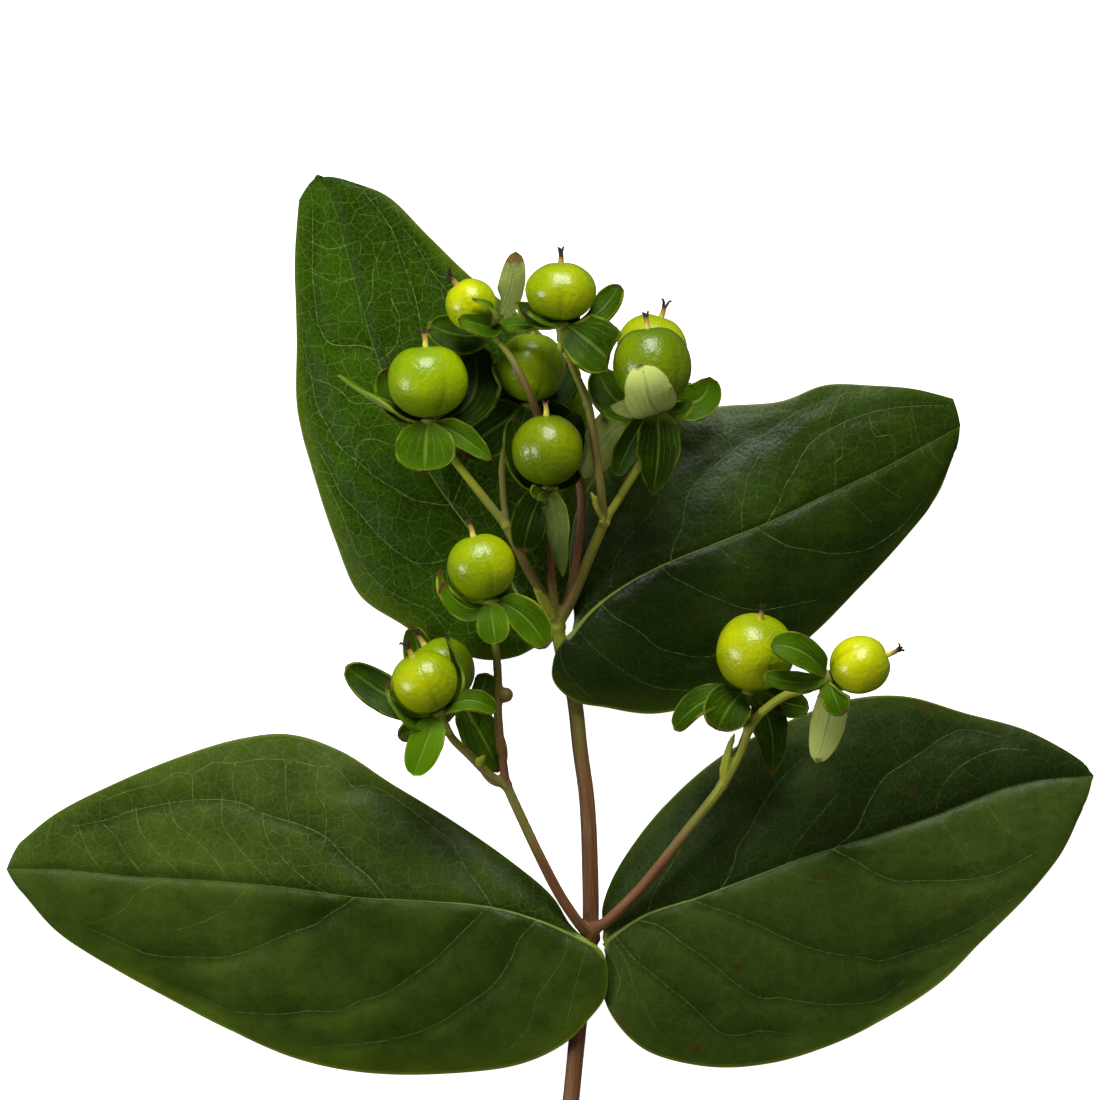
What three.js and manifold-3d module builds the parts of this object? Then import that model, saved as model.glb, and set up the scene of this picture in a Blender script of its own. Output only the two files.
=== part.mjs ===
// Hypericum berry stem: one woody stem lying on its leaves, four leaves and twelve berries, each with its
// calyx of leafy sepals and its styles. Millimetres, +Z up from the surface it lies on, +Y along the stem to
// its tip.
import * as THREE from "three";
import Module from "manifold-3d";

const wasm = await Module();
wasm.setup();

// ---- driving dimensions, mm ----
const LEAF_THICKNESS = 0.75; // measured upright, so the steep stretches stay above 0.6 across
const LEAF_LOWEST = LEAF_THICKNESS / 2; // a blade that sags lower than this lies flat on the surface
const LEAF_STATIONS = 18; // rows from base to tip
const LEAF_CELLS = 6; // cells from midrib to margin
const LEAF_PILLOW = 0.7; // rise of each half blade between midrib and margin
const LEAF_WAVE = 0.45; // height of the slow waves along the margins
const LEAF_WAVES = 3.5; // waves from base to tip
const WAVE_PHASES = { left: 0.4, right: 2.3 }; // where the waves of each margin start, in radians
const LEAF_ENDS = 0.5; // how the pillow and the waves fade to the leaf's ends, as a power
const SEPAL_THICKNESS = 0.6;
const SEPAL_CLEARANCE = 0.95; // from the skin of a berry or twig to the middle of a sepal
const SEPAL_CUP = 0.1; // height of a sepal's arch, as a share of half its width
const SEPAL_STATIONS = 4;
const BLUNT = [0.26, 0.82, 1, 0.92, 0.42]; // share of the full width at each station, root to tip
const POINTED = [0.3, 0.92, 0.96, 0.66, 0.14];
const GAP = 0.3; // between solids that meet on the plant
const CUP_RADIUS = 1.3; // the small cup under a berry that carries its sepals
const CUP_DEPTH = 0.7;
const CUP_FOOT = 0.85; // the cup's lower radius, as a share of its upper one
const CUP_SIDES = 7;
const ROOT_SINK = 0.6; // where a sepal starts, as a share of the cup's radius
const NECK_LENGTH = 1.8; // the thickened end of the stalk that each cup stands on
const NECK_RADIUS = 0.62;
const BERRY_RINGS = 9;
const BERRY_SIDES = 15;
const BERRY_FULLNESS = 0.9; // under 1 a berry is fuller than an ellipsoid
const SEAMS = 3; // each on a column of points
const SEAM_DEPTH = 0.04; // as a share of the berry's radius
const HAIRS = 2; // stigma hairs on each style
const HAIR_RADIUS = 0.3;
const HAIR_TIP = 0.9; // as a share of the hair's radius
const STYLE_STALK = 0.9;
const STYLE_LENGTH = 1.1;
const STYLE_FOOT = 1.6; // the stalk's radii, as shares of a hair's radius
const STYLE_TOP = 1.3;
const STYLE_SIDES = 6;
const HAIR_SIDES = 4;
// a hair's root, elbow and tip: how far out, and how high above the stalk
const HAIR_BEND = [[0.1, -0.4], [0.3, 0.5 * STYLE_LENGTH], [0.55, STYLE_LENGTH]];
const TWIG_SIDES = 7;
const THIN_TWIG = 0.72; // a twig no thicker than this has one side fewer
const TWIG_END = 1; // a berry's twig runs straight under its cup for this long
const BEAD_SPACING = 0.8; // between the points that stand for a twig when sepals are bent clear of it
const BALL_DETAIL = 1; // how finely a swelling is cut
const SAME_POINT = 1e-4; // corners closer than this are one
const LEAST_DEPTH = 0.05; // keeps a point at a berry's middle from being thrown far off

const LEAF_GREEN = {
  upper_left: 0x3f6b0c, upper_right: 0x2f4e18, lower_left: 0x35551a, lower_right: 0x2c4a1c,
};
const SEPAL_GREEN = 0x55802a;
const STEM_GREEN = 0x7d7a38;
const STYLE_BROWN = 0x6b5224;
const ROUGHNESS = { stem: 0.6, leaf: 0.45, berry: 0.25, calyx: 0.5, styles: 0.7 };

// ---- where each leaf runs: midrib and both margins from base to tip, [x, y, height] ----
const LEAVES = {
  upper_left: {
    rib: [[-1.5, 21, 8.8], [-6.5, 30, 8], [-12, 37, 7.2], [-18, 45.5, 6], [-25, 60.5, 4.2],
      [-28.5, 71.5, 3],
      [-33, 87, 1.9], [-35, 90, 1.6]],
    left: [[-2, 19.5, 8.4], [-5, 18, 6.8], [-9.5, 17.5, 5.2], [-16.5, 19.5, 3.8], [-22.5, 23, 2.8],
      [-28.4, 27.1, 2], [-32.2, 35.6, 1.2], [-35.6, 46, 0.4], [-37.9, 55, 0.1], [-38, 65.5, 0.1],
      [-38.2, 77.5, 0.3],
      [-37.6, 86.4, 0.9]],
    right: [[0.3, 23.5, 7.5], [3, 27, 7], [4.5, 33, 6.4], [6, 41.5, 6], [7, 49.5, 5.6], [5.5, 58, 5.2],
      [-1.5, 66.5, 4.6], [-12, 74.9, 3.8], [-18.2, 80.9, 3], [-24.3, 86.8, 2.3], [-29.5, 89, 1.9]],
  },
  upper_right: {
    rib: [[3.5, 21.5, 11.3], [6.5, 25, 11.9], [11, 28.5, 12.1], [16.5, 31.5, 12], [22.5, 34, 11.2],
      [32.5, 38, 9.4], [42, 42.5, 7], [49.5, 46, 4.8], [56, 49.5, 2.6], [61.5, 52.5, 1]],
    left: [[4, 23.5, 10], [3.2, 27.5, 9.2], [3, 33, 8.8], [4.5, 41, 8.4], [11, 49.5, 7.8], [22.5, 54.8, 7],
      [34.5, 56.1, 6.5], [41, 58.5, 5.6], [48, 58.5, 4.2], [54.5, 58, 2.6], [60.4, 56.6, 1.5]],
    right: [[1.5, 20, 11.9], [0.5, 17.5, 12], [0.5, 14.5, 11.6], [3.5, 11.5, 11], [8, 10.5, 9.8],
      [15.5, 9.5, 8.4], [24, 11.5, 7], [32, 15.5, 5.6], [39.5, 21.5, 4], [45.5, 27.5, 2.4], [52.5, 35, 1],
      [58, 42, 0.2], [60.5, 48, 0.2]],
  },
  lower_left: {
    rib: [[7, -25.5, 6.5], [3, -23.5, 7], [-1.5, -21.5, 7.6], [-8.5, -19.5, 8], [-18, -18.5, 7.8],
      [-28.5, -18, 6.6], [-40, -16.5, 4.8], [-52.5, -15.5, 3], [-63, -15, 1.8], [-73.5, -14, 1],
      [-81.5, -14, 0.6]],
    left: [[8.1, -27, 6.7], [8.6, -29, 6.9], [8.2, -32.8, 6.7], [5.8, -36.2, 6.3], [2.2, -39.8, 5.6],
      [-4.5, -43, 3.6], [-15, -44.5, 1.8], [-27, -44.5, 0.8], [-37.5, -42.5, 0.3], [-48, -38.1, 0.1],
      [-57.5, -33.2, 0.1], [-66, -28.5, 0.3], [-74, -23.2, 0.4], [-79, -17.5, 0.5]],
    right: [[5.5, -25, 6.1], [2.8, -22, 5.8], [0.3, -18, 5.5], [-6, -12.6, 5.2], [-15, -6.4, 4.8],
      [-24, -0.9, 4.2], [-31.5, 3.9, 3.4], [-39, 6.3, 2.8], [-46.5, 5.6, 2.4], [-55.5, 2.9, 1.9],
      [-65, -1, 1.2],
      [-74, -5.6, 0.8], [-79.5, -10, 0.5]],
  },
  lower_right: {
    rib: [[8, -25, 6.3], [10.5, -23, 6.9], [14.5, -20.5, 7.6], [22, -18, 8.2], [30, -15, 8.1],
      [38, -12, 7.2],
      [48, -9, 5.6], [58.5, -5.5, 3.8], [67.5, -2, 2.2], [74, -0.5, 1.2], [81.5, 0, 0.6]],
    left: [[8.3, -23, 5], [7.9, -20, 4.6], [9.1, -16, 4.6], [11.9, -11, 4.6], [17, -4.5, 4.8], [25.5, 3, 5],
      [35, 8, 5], [44.5, 11.5, 4.6], [53, 12, 3.8], [62, 9.5, 2.6], [71, 7, 1.4], [77, 4, 0.8],
      [80, 2, 0.6]],
    right: [[8.7, -26.5, 5.7], [8.2, -29.5, 5.3], [8.1, -32.8, 5.1], [10, -36.8, 4.6], [14.5, -41, 3.6],
      [24, -43.5, 2.2], [33, -43, 1], [41.5, -40.5, 0.4], [50, -36.5, 0.1], [58.5, -31, 0.1],
      [65, -24.5, 0.3], [71.5, -18, 0.4], [77, -11, 0.5], [80, -4.5, 0.5]],
  },
};

// ---- each berry: middle, way it points, radius, half its height, turn of its seams in degrees, its colour,
// and its five or six sepals: [a point it bends past, its tip, width, way its inner face looks, blunt] ----
const BERRIES = {
  a: {
    middle: [-18.2, 58.9, 20], axis: [-0.05, 1, 0.05], radius: 6.1, half: 5.4, turn: 300, colour: 0x7f9e0a,
    sepals: [
      [[-18.5, 49.5, 22.3], [-18.5, 45.5, 21.5], 9, [0, 0.15, 1], true],
      [[-12.5, 51, 20.6], [-8.5, 47, 20], 3.9, [0.2, 0, 1], false],
      [[-25, 55, 17.5], [-31.5, 60, 16.8], 4.5, [0.6, 0.8, 0.15], false],
      [[-9, 54.5, 15], [-11.5, 64, 14], 8.5, [-0.3, 0.2, 1], true],
      [[-23.5, 55, 13.5], [-24, 61, 13], 6, [0.3, 0, 1], true],
    ],
  },
  b: {
    middle: [1.6, 72.1, 27], axis: [0, 1, 0.05], radius: 5.3, half: 4.4, turn: 270, colour: 0x86a20c,
    sepals: [
      [[7.4, 67.5, 25], [10.2, 73, 24.5], 4.5, [-0.3, 0.3, 1], true],
      [[6, 65, 29.5], [9.5, 61, 28], 8.2, [0.1, 0.1, 1], true],
      [[-0.5, 67.5, 29.5], [-3.5, 69, 29], 2.6, [0, 0.9, 0.5], false],
      [[-2, 68, 23.5], [-5, 70.5, 23], 3.6, [0.2, 0.2, 1], false],
      [[2, 66.5, 22.5], [2.5, 71, 20.5], 4.5, [0, 0.2, 1], true],
    ],
  },
  c: {
    middle: [-10.2, 31.5, 24], axis: [-0.25, 0.97, 0.05],
      radius: 5.15, half: 4.9, turn: 300, colour: 0x9cab08,
    sepals: [
      [[-16, 24, 25], [-16, 31, 25], 3.4, [0.8, 0.2, 0.6], true],
      [[-12, 23.5, 25.5], [-16, 29, 26.5], 4.4, [0.2, 0.3, 0.9], true],
      [[-8.5, 23.5, 26.4], [-8, 20, 25.4], 4.8, [0, 0, 1], true],
      [[-3.5, 25.5, 24.5], [-0.5, 19.5, 22.5], 5.2, [0.1, 0.1, 1], true],
      [[-7.5, 26.5, 19], [-8, 31, 17.5], 4.5, [0, 0.3, 1], true],
    ],
  },
  d: {
    middle: [-18.6, 14.4, 23], axis: [-0.42, 0.9, 0.25],
      radius: 5.05, half: 4.6, turn: 300, colour: 0xa0ae0c,
    sepals: [
      [[-23.2, 10.8, 17.5], [-30.2, 16.7, 16.5], 5.5, [0, 0, 1], true],
      [[-22.5, 6.5, 25], [-24, 14.5, 25], 3.8, [0.8, 0.4, 0.3], false],
      [[-18, 6.5, 25.5], [-20.2, 0.6, 23.5], 5.2, [0, 0, 1], true],
      [[-12, 13.5, 25.5], [-8, 10, 22], 3.5, [-0.1, 0.4, 0.9], true],
      [[-11.5, 13, 21], [-15.5, 21.5, 20.5], 3.5, [-0.9, -0.2, 0.3], false],
    ],
  },
  e: {
    middle: [-16.2, 15.9, 11.5], axis: [-0.55, 0.83, 0],
      radius: 5.3, half: 4.9, turn: 280, colour: 0x86a010,
    sepals: [
      [[-18.6, 13, 4.8], [-20.6, 22.6, 6.5], 5.4, [0, 0, 1], true],
      [[-10, 11.5, 9], [-9.5, 15.5, 8.5], 5, [0, 0, 1], true],
      [[-10.8, 7.8, 13.2], [-7.5, 0.9, 12.8], 6, [0, 0, 1], true],
      [[-18, 8, 8], [-22.6, 6, 7.5], 3.6, [0, 0.2, 1], true],
      [[-14, 13, 5.2], [-15, 15.5, 4.9], 4, [0, 0, 1], true],
    ],
  },
  f: {
    middle: [30.3, 18.8, 20], axis: [0.15, 0.9, 0.35], radius: 5.95, half: 5.7, turn: 290, colour: 0x95a80c,
    sepals: [
      [[22, 12.8, 19], [18.4, 7.3, 17], 5.6, [-0.1, 0.75, 0.65], true],
      [[26.5, 11.8, 21.5], [24.8, 7.3, 19.8], 7, [0, 0.1, 1], true],
      [[34, 8.5, 14], [33, 0, 12], 5.6, [0, 0, 1], false],
      [[35, 11, 14.5], [38.5, 10.5, 13.5], 4.2, [0, 0.2, 1], true],
      [[28.5, 14, 12.5], [29.5, 18.5, 12], 5, [0, 0.2, 1], true],
    ],
  },
  g: {
    middle: [45.8, 16.9, 24], axis: [0.93, 0.36, 0.05], radius: 4.4, half: 4.5, turn: 40, colour: 0xa3ab0c,
    sepals: [
      [[38, 20, 30.5], [32.5, 20, 28.8], 4.7, [0, 0.2, 1], true],
      [[37, 13.5, 27], [31.5, 15.5, 27], 3.4, [0, 0.5, 0.9], true],
      [[41.5, 13.5, 27], [43, 9.5, 25], 4.2, [0.1, 0.1, 1], true],
      [[42.5, 11.5, 21.5], [39.5, 2.5, 19.5], 5, [0, 0, -1], true],
      [[43.5, 14.5, 19], [46.5, 16.5, 18.5], 4, [0, 0, 1], true],
    ],
  },
  h: {
    middle: [15, 61, 27], axis: [-0.12, 1, 0.05], radius: 5.85, half: 5.9, turn: 320, colour: 0x7fa00c,
    sepals: [
      [[14.5, 55.5, 35.5], [13.5, 61, 34.3], 7.5, [0, 0.1, -1], true],
      [[16.5, 48.5, 29.5], [15, 42, 27], 6.8, [0.1, 0, 1], false],
      [[19, 53.5, 26], [21, 56, 24], 3.4, [-0.3, 0.3, 0.9], false],
      [[9.5, 53.8, 22.5], [7, 60.6, 20], 6, [0.1, 0, 1], true],
      [[9.4, 54.3, 22], [5, 44.6, 19.2], 6.2, [0.2, 0.2, -1], true],
      [[12, 51, 25], [9.8, 44.8, 22.6], 3.8, [0, 0, 1], true],
    ],
  },
  i: {
    middle: [15.1, 64, 15], axis: [0.3, 0.95, 0], radius: 5.3, half: 5, turn: 270, colour: 0x93a810,
    sepals: [
      [[23, 52.8, 12.5], [23.8, 59.6, 13.5], 5.8, [0, 0, 1], true],
      [[9, 56, 12], [9, 60.5, 11], 5, [0.2, 0, 1], true],
      [[18.5, 60.5, 9.5], [17, 65, 9], 4.8, [0, 0, 1], true],
      [[12, 60.5, 9.5], [12.5, 65, 9], 4.8, [0, 0, 1], true],
      [[14, 56, 11.5], [15.5, 52.5, 10], 4.4, [0, 0, 1], true],
    ],
  },
  j: {
    middle: [-11.7, 70.3, 19], axis: [-0.6, 0.8, 0.05],
      radius: 3.85, half: 3.9, turn: 300, colour: 0xa3ad10,
    sepals: [
      [[-7.5, 66.5, 23], [-13.5, 68, 23.5], 3.8, [-0.1, 0.3, 1], true],
      [[-5.5, 71, 20], [-5, 78, 20], 3.9, [0, 0, -1], true],
      [[-6.5, 69.5, 24], [-11.5, 71, 24.5], 2.5, [0, 0.8, 0.6], false],
      [[-3.5, 67.5, 22], [1.5, 67, 21.5], 3, [-0.2, 0.7, 0.7], false],
      [[-12, 64.5, 14], [-18, 67.5, 13.5], 5.6, [0, 0, 1], true],
    ],
  },
  k: {
    middle: [-2.8, 61.1, 14.4], axis: [0.05, 1, 0.05], radius: 5.2, half: 5.2, turn: 290, colour: 0x7c980c,
    sepals: [
      [[-7.5, 52.5, 11], [-13.5, 48.5, 10.2], 7.5, [0, 0, 1], true],
      [[1.5, 54.5, 12], [4, 49, 11.5], 4.8, [0, 0, 1], true],
      [[-6.5, 57, 10], [-8, 62, 9.3], 5.5, [0, 0, 1], true],
      [[1.5, 57, 9.5], [3, 62, 9], 5.5, [0, 0, 1], true],
      [[-4, 53.5, 16.2], [-4.5, 51.5, 15.6], 3.2, [0, 0.2, 1], true],
    ],
  },
  l: {
    middle: [-0.3, 48.8, 22], axis: [-0.05, 1, 0.1], radius: 5.4, half: 5.3, turn: 245, colour: 0x50700e,
    sepals: [
      [[-3, 40, 22.8], [-4, 33.5, 20.5], 5.4, [0, 0, 1], true],
      [[-1.5, 42.5, 24.6], [-2, 41.5, 24.4], 3.2, [0, 0, 1], true],
      [[1, 37.5, 24], [2, 30, 22], 4.2, [0.5, 0, -0.85], false],
      [[4.2, 44.5, 14.6], [3.5, 54.5, 15.8], 4.6, [-0.3, 0, 1], true],
      [[-5, 44.5, 18], [-5.5, 53.5, 17.5], 4.4, [0.3, 0, 1], true],
    ],
  },
};

// ---- the woody framework: radius at both ends and the points it runs through; one that carries a berry ends
// under that berry's cup ----
const LOWER_NODE = [6, -24, 4.2];
const UPPER_NODE = [1, 22.5, 9.7];
const LEFT_FORK = [-6.5, -1, 13.4];
const RIGHT_FORK = [29.5, 7.5, 17.2];
const TOP_RIGHT_FORK = [8, 38, 18];
const TOP_LEFT_FORK = [-6.5, 37.5, 15.2];
const TWIGS = [
  { from: 1.35, to: 1.1, path: [[-1.5, -90, 1.35], [1, -69.5, 1.6], [3, -50, 2.2], [4.5, -35, 3],
    LOWER_NODE,
    [6, -14, 5.6], [5.5, -3.5, 7], [4.5, 4, 7.8], [3.5, 12.5, 8.6], [2, 18, 9.2], UPPER_NODE], cells: 15 },
  { from: 0.85, to: 0.75, path: [LOWER_NODE, [4, -21.4, 7.1], [1.5, -17.6, 9], [-1.6, -11.6, 11.2],
    [-4.7, -5, 12.6],
    LEFT_FORK], cells: 7 },
  { from: 0.7, to: 0.6, path: [LEFT_FORK, [-7.2, 4, 15], [-7.7, 9.5, 16.8], [-7.7, 14.5, 18.4],
    [-8, 19, 19.8],
    [-8.5, 22.5, 21.2]], berry: "c", cells: 7 },
  { from: 0.7, to: 0.6, path: [LEFT_FORK, [-9, 0.5, 14.4], [-12, 3.5, 15.8], [-14.5, 6, 17.4],
    [-15.5, 8, 19.4]],
    berry: "d", cells: 6 },
  { from: 0.6, to: 0.55, path: [LEFT_FORK, [-8.5, -0.5, 12.2], [-10.5, 2, 10.4], [-12, 6, 9.2],
    [-12.8, 8.5, 9]],
    berry: "e", cells: 6 },
  { from: 0.9, to: 0.75, path: [LOWER_NODE, [7, -22.5, 6.4], [8.5, -21.5, 8], [13.5, -16.5, 10.6],
    [19.5, -9, 12.8], [25.6, -1, 15], [28, 3.5, 16.4], RIGHT_FORK], cells: 9 },
  { from: 0.7, to: 0.65, path: [RIGHT_FORK, [31.5, 10, 19.8], [35, 12.5, 21.8], [38.5, 13.5, 22.8]],
    berry: "g", cells: 7 },
  { from: 0.65, to: 0.6, path: [RIGHT_FORK, [29.5, 10, 17.2]], berry: "f", cells: 3 },
  { from: 0.9, to: 0.8, path: [UPPER_NODE, [3, 26, 12.4], [5.5, 32, 15.2], TOP_RIGHT_FORK], cells: 5 },
  { from: 0.65, to: 0.6, path: [TOP_RIGHT_FORK, [7.5, 43.5, 21], [6.5, 50, 23], [5.5, 55.5, 24.2],
    [3.5, 60.5, 25.2], [2, 64, 25.8]], berry: "b", cells: 8 },
  { from: 0.65, to: 0.6, path: [TOP_RIGHT_FORK, [10.5, 42, 18.8], [13, 46, 19.8], [14.8, 49, 22],
    [15.8, 50.4, 24.2]], berry: "h", cells: 7 },
  { from: 0.55, to: 0.55, path: [[10.5, 42, 18.8], [12.5, 46.5, 16], [13.5, 51.5, 13.8], [13, 55.5, 14.2]],
    berry: "i", cells: 7 },
  { from: 0.85, to: 0.72, path: [UPPER_NODE, [0, 25.5, 12], [-3, 30.5, 13.6], TOP_LEFT_FORK], cells: 5 },
  { from: 0.68, to: 0.6, path: [TOP_LEFT_FORK, [-10.5, 42.5, 16.6], [-14, 47, 17.8], [-16.5, 50.5, 18.8]],
    berry: "a", cells: 6 },
  { from: 0.58, to: 0.55, path: [TOP_LEFT_FORK, [-7, 42.5, 13.8], [-7, 47.5, 12.8], [-5.5, 51.5, 12.8]],
    berry: "k", cells: 6 },
  { from: 0.7, to: 0.6, path: [UPPER_NODE, [0.5, 27, 13], [0, 33.5, 16.8], [0, 38.5, 19.8]],
    berry: "l", cells: 6 },
  { from: 0.7, to: 0.55, path: [UPPER_NODE, [3, 28, 11.6], [4.5, 37, 12.6], [4.5, 43.5, 13],
    [2.5, 49, 13.6],
    [-0.5, 52, 15.5], [-2, 54.5, 18.6], [-3.4, 58, 20.3], [-5.2, 61.4, 20.2]],
    berry: "j", cells: 14 },
];
// swellings at the nodes and forks, and the small green bud on the left side branch: [point, radius]
const SWELLINGS = [
  [LOWER_NODE, 1.6], [UPPER_NODE, 1.45], [LEFT_FORK, 0.95], [RIGHT_FORK, 0.95], [[-6.6, 12.4, 17.6], 1.15],
];
// small bracts that stand off the forks: root, a point it bends past, tip, width, way its face looks
const BRACTS = [
  [[0.4, 23.6, 10.6], [-0.6, 25.6, 13.6], [-2.4, 28.4, 15], 1.8, [0.5, 0.3, 1]],
  [[8, 38, 18.4], [7, 40.5, 19.4], [6, 42.6, 20], 1.3, [0, 0.2, 1]],
  [[25.5, -0.8, 15.4], [25.8, 3.2, 17], [27.4, 6.9, 18.1], 1.4, [-0.4, 0.2, 1]],
  [[-10.6, 2.2, 15.4], [-10.2, 2.8, 16.3], [-9.7, 3.4, 16.7], 1.1, [0, 0, 1]],
];

// ---- shared helpers ----
const vec = ([x, y, z]) => new THREE.Vector3(x, y, z);
const through = (points) => new THREE.CatmullRomCurve3(points.map(vec), false, "centripetal");

function closedGeometry(points, faces) {
  const geometry = new THREE.BufferGeometry();
  const numbers = points.flatMap((p) => [p.x, p.y, p.z]);
  geometry.setAttribute("position", new THREE.Float32BufferAttribute(numbers, 3));
  geometry.setIndex(faces);
  return geometry;
}

// The points of a shape whose faces each carry their own corners.
function cornersOf(geometry) {
  const position = geometry.attributes.position;
  const points = [];
  for (let i = 0; i < position.count; i++) points.push(new THREE.Vector3().fromBufferAttribute(position, i));
  return points;
}

// Makes one closed shape of loose corners: equal corners become one, and flat slivers go.
function mergeCorners(points, faces) {
  const kept = [];
  const where = points.map((p) => {
    const found = kept.findIndex((q) => q.distanceTo(p) < SAME_POINT);
    return found >= 0 ? found : kept.push(p) - 1;
  });
  const corners = faces.map((f) => where[f]);
  const solid = [];
  for (let i = 0; i < corners.length; i += 3) {
    const [a, b, c] = corners.slice(i, i + 3);
    if (a !== b && b !== c && c !== a) solid.push(a, b, c);
  }
  return closedGeometry(kept, solid);
}

function toSolid(geometry) {
  const vertProperties = new Float32Array(geometry.attributes.position.array);
  const triVerts = new Uint32Array(geometry.index.array);
  return new wasm.Manifold(new wasm.Mesh({ numProp: 3, vertProperties, triVerts }));
}

// Joins solids into one; a pocket sealed between them is filled.
function fuse(geometries) {
  const whole = geometries.map(toSolid).reduce((joined, piece) => joined.add(piece));
  const [outer] = whole.decompose().sort((a, b) => b.volume() - a.volume());
  const mesh = outer.getMesh();
  const geometry = new THREE.BufferGeometry();
  geometry.setAttribute("position", new THREE.Float32BufferAttribute(mesh.vertProperties, 3));
  geometry.setIndex([...mesh.triVerts]);
  return geometry;
}

// A blade between two skins: `middle` is rows of points, and `lift` gives half the thickness at a point as a
// vector.
function blade(middle, lift) {
  const rows = middle.length;
  const columns = middle[0].length;
  const skin = rows * columns;
  const points = [];
  for (const side of [1, -1]) {
    middle.forEach((row, i) => {
      row.forEach((p, j) => points.push(p.clone().addScaledVector(lift(i, j), side)));
    });
  }
  const faces = [];
  const at = (i, j) => i * columns + j;
  for (let i = 0; i < rows - 1; i++) {
    for (let j = 0; j < columns - 1; j++) {
      const quad = [at(i, j), at(i + 1, j), at(i + 1, j + 1), at(i, j + 1)];
      const back = quad.map((corner) => corner + skin);
      faces.push(quad[0], quad[1], quad[2], quad[0], quad[2], quad[3]);
      faces.push(back[0], back[2], back[1], back[0], back[3], back[2]);
    }
  }
  const rim = [];
  for (let i = 0; i < rows - 1; i++) rim.push(at(i, 0));
  for (let j = 0; j < columns - 1; j++) rim.push(at(rows - 1, j));
  for (let i = rows - 1; i > 0; i--) rim.push(at(i, columns - 1));
  for (let j = columns - 1; j > 0; j--) rim.push(at(0, j));
  rim.forEach((a, n) => {
    const b = rim[(n + 1) % rim.length];
    faces.push(a, skin + a, skin + b, a, skin + b, b);
  });
  return closedGeometry(points, faces);
}

// A round twig that tapers along its curve, closed at both ends.
function tube(curve, from, to, cells, sides) {
  const frames = curve.computeFrenetFrames(cells, false);
  const points = [];
  for (let i = 0; i <= cells; i++) {
    const centre = curve.getPointAt(i / cells);
    const radius = from + (to - from) * (i / cells);
    for (let j = 0; j < sides; j++) {
      const angle = (2 * Math.PI * j) / sides;
      points.push(centre.clone()
        .addScaledVector(frames.normals[i], Math.cos(angle) * radius)
        .addScaledVector(frames.binormals[i], Math.sin(angle) * radius));
    }
  }
  const faces = [];
  for (let i = 0; i < cells; i++) {
    for (let j = 0; j < sides; j++) {
      const k = (j + 1) % sides;
      const [a, b, c, d] = [i * sides + j, i * sides + k, (i + 1) * sides + k, (i + 1) * sides + j];
      faces.push(a, b, c, a, c, d);
    }
  }
  const start = points.push(curve.getPointAt(0)) - 1;
  const end = points.push(curve.getPointAt(1)) - 1;
  for (let j = 0; j < sides; j++) {
    const k = (j + 1) % sides;
    faces.push(start, k, j, end, cells * sides + j, cells * sides + k);
  }
  return closedGeometry(points, faces);
}

// ---- leaves ----
function leafMiddle({ rib, left, right }) {
  const lines = [through(left), through(rib), through(right)];
  const rows = [];
  for (let i = 0; i <= LEAF_STATIONS; i++) {
    const t = i / LEAF_STATIONS;
    const [leftPoint, ribPoint, rightPoint] = lines.map((line) => line.getPoint(t));
    const across = (edge, phase, s) => {
      const p = ribPoint.clone().lerp(edge, s);
      const ends = Math.sin(Math.PI * t) ** LEAF_ENDS;
      p.z += LEAF_PILLOW * Math.sin(Math.PI * s) * ends;
      p.z += LEAF_WAVE * s * s * ends * Math.sin(2 * Math.PI * LEAF_WAVES * t + phase);
      p.z = Math.max(p.z, LEAF_LOWEST);
      return p;
    };
    const row = [];
    for (let j = LEAF_CELLS; j > 0; j--) row.push(across(leftPoint, WAVE_PHASES.left, j / LEAF_CELLS));
    for (let j = 0; j <= LEAF_CELLS; j++) row.push(across(rightPoint, WAVE_PHASES.right, j / LEAF_CELLS));
    rows.push(row);
  }
  return rows;
}

function leaf(shape) {
  const half = new THREE.Vector3(0, 0, LEAF_THICKNESS / 2);
  const middle = leafMiddle(shape);
  return blade(middle.map((row) => row.toReversed()), () => half);
}

// ---- berries ----
const axisOf = (berry) => vec(berry.axis).normalize();
const below = (berry, distance) => vec(berry.middle).addScaledVector(axisOf(berry), -berry.half - distance);

// Turns +Z onto the berry's axis and puts the berry's middle in place.
function ontoBerry(geometry, berry) {
  const turn = new THREE.Quaternion().setFromUnitVectors(new THREE.Vector3(0, 0, 1), axisOf(berry));
  return geometry.applyQuaternion(turn).translate(...berry.middle);
}

function berrySolid(berry) {
  const points = [new THREE.Vector3(0, 0, -berry.half)];
  for (let i = 1; i < BERRY_RINGS; i++) {
    const polar = (Math.PI * i) / BERRY_RINGS;
    for (let j = 0; j < BERRY_SIDES; j++) {
      const seam = j % (BERRY_SIDES / SEAMS) === 0 ? 1 - SEAM_DEPTH : 1;
      const angle = (2 * Math.PI * j) / BERRY_SIDES + THREE.MathUtils.degToRad(berry.turn);
      const radius = berry.radius * Math.sin(polar) ** BERRY_FULLNESS * seam;
      const height = -Math.cos(polar) * berry.half;
      points.push(new THREE.Vector3(Math.cos(angle) * radius, Math.sin(angle) * radius, height));
    }
  }
  const top = points.push(new THREE.Vector3(0, 0, berry.half)) - 1;
  const faces = [];
  const at = (i, j) => 1 + (i - 1) * BERRY_SIDES + (j % BERRY_SIDES);
  for (let j = 0; j < BERRY_SIDES; j++) {
    faces.push(0, at(1, j + 1), at(1, j));
    for (let i = 1; i < BERRY_RINGS - 1; i++) {
      faces.push(at(i, j), at(i, j + 1), at(i + 1, j + 1), at(i, j), at(i + 1, j + 1), at(i + 1, j));
    }
    faces.push(top, at(BERRY_RINGS - 1, j), at(BERRY_RINGS - 1, j + 1));
  }
  return ontoBerry(closedGeometry(points, faces), berry);
}

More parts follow.
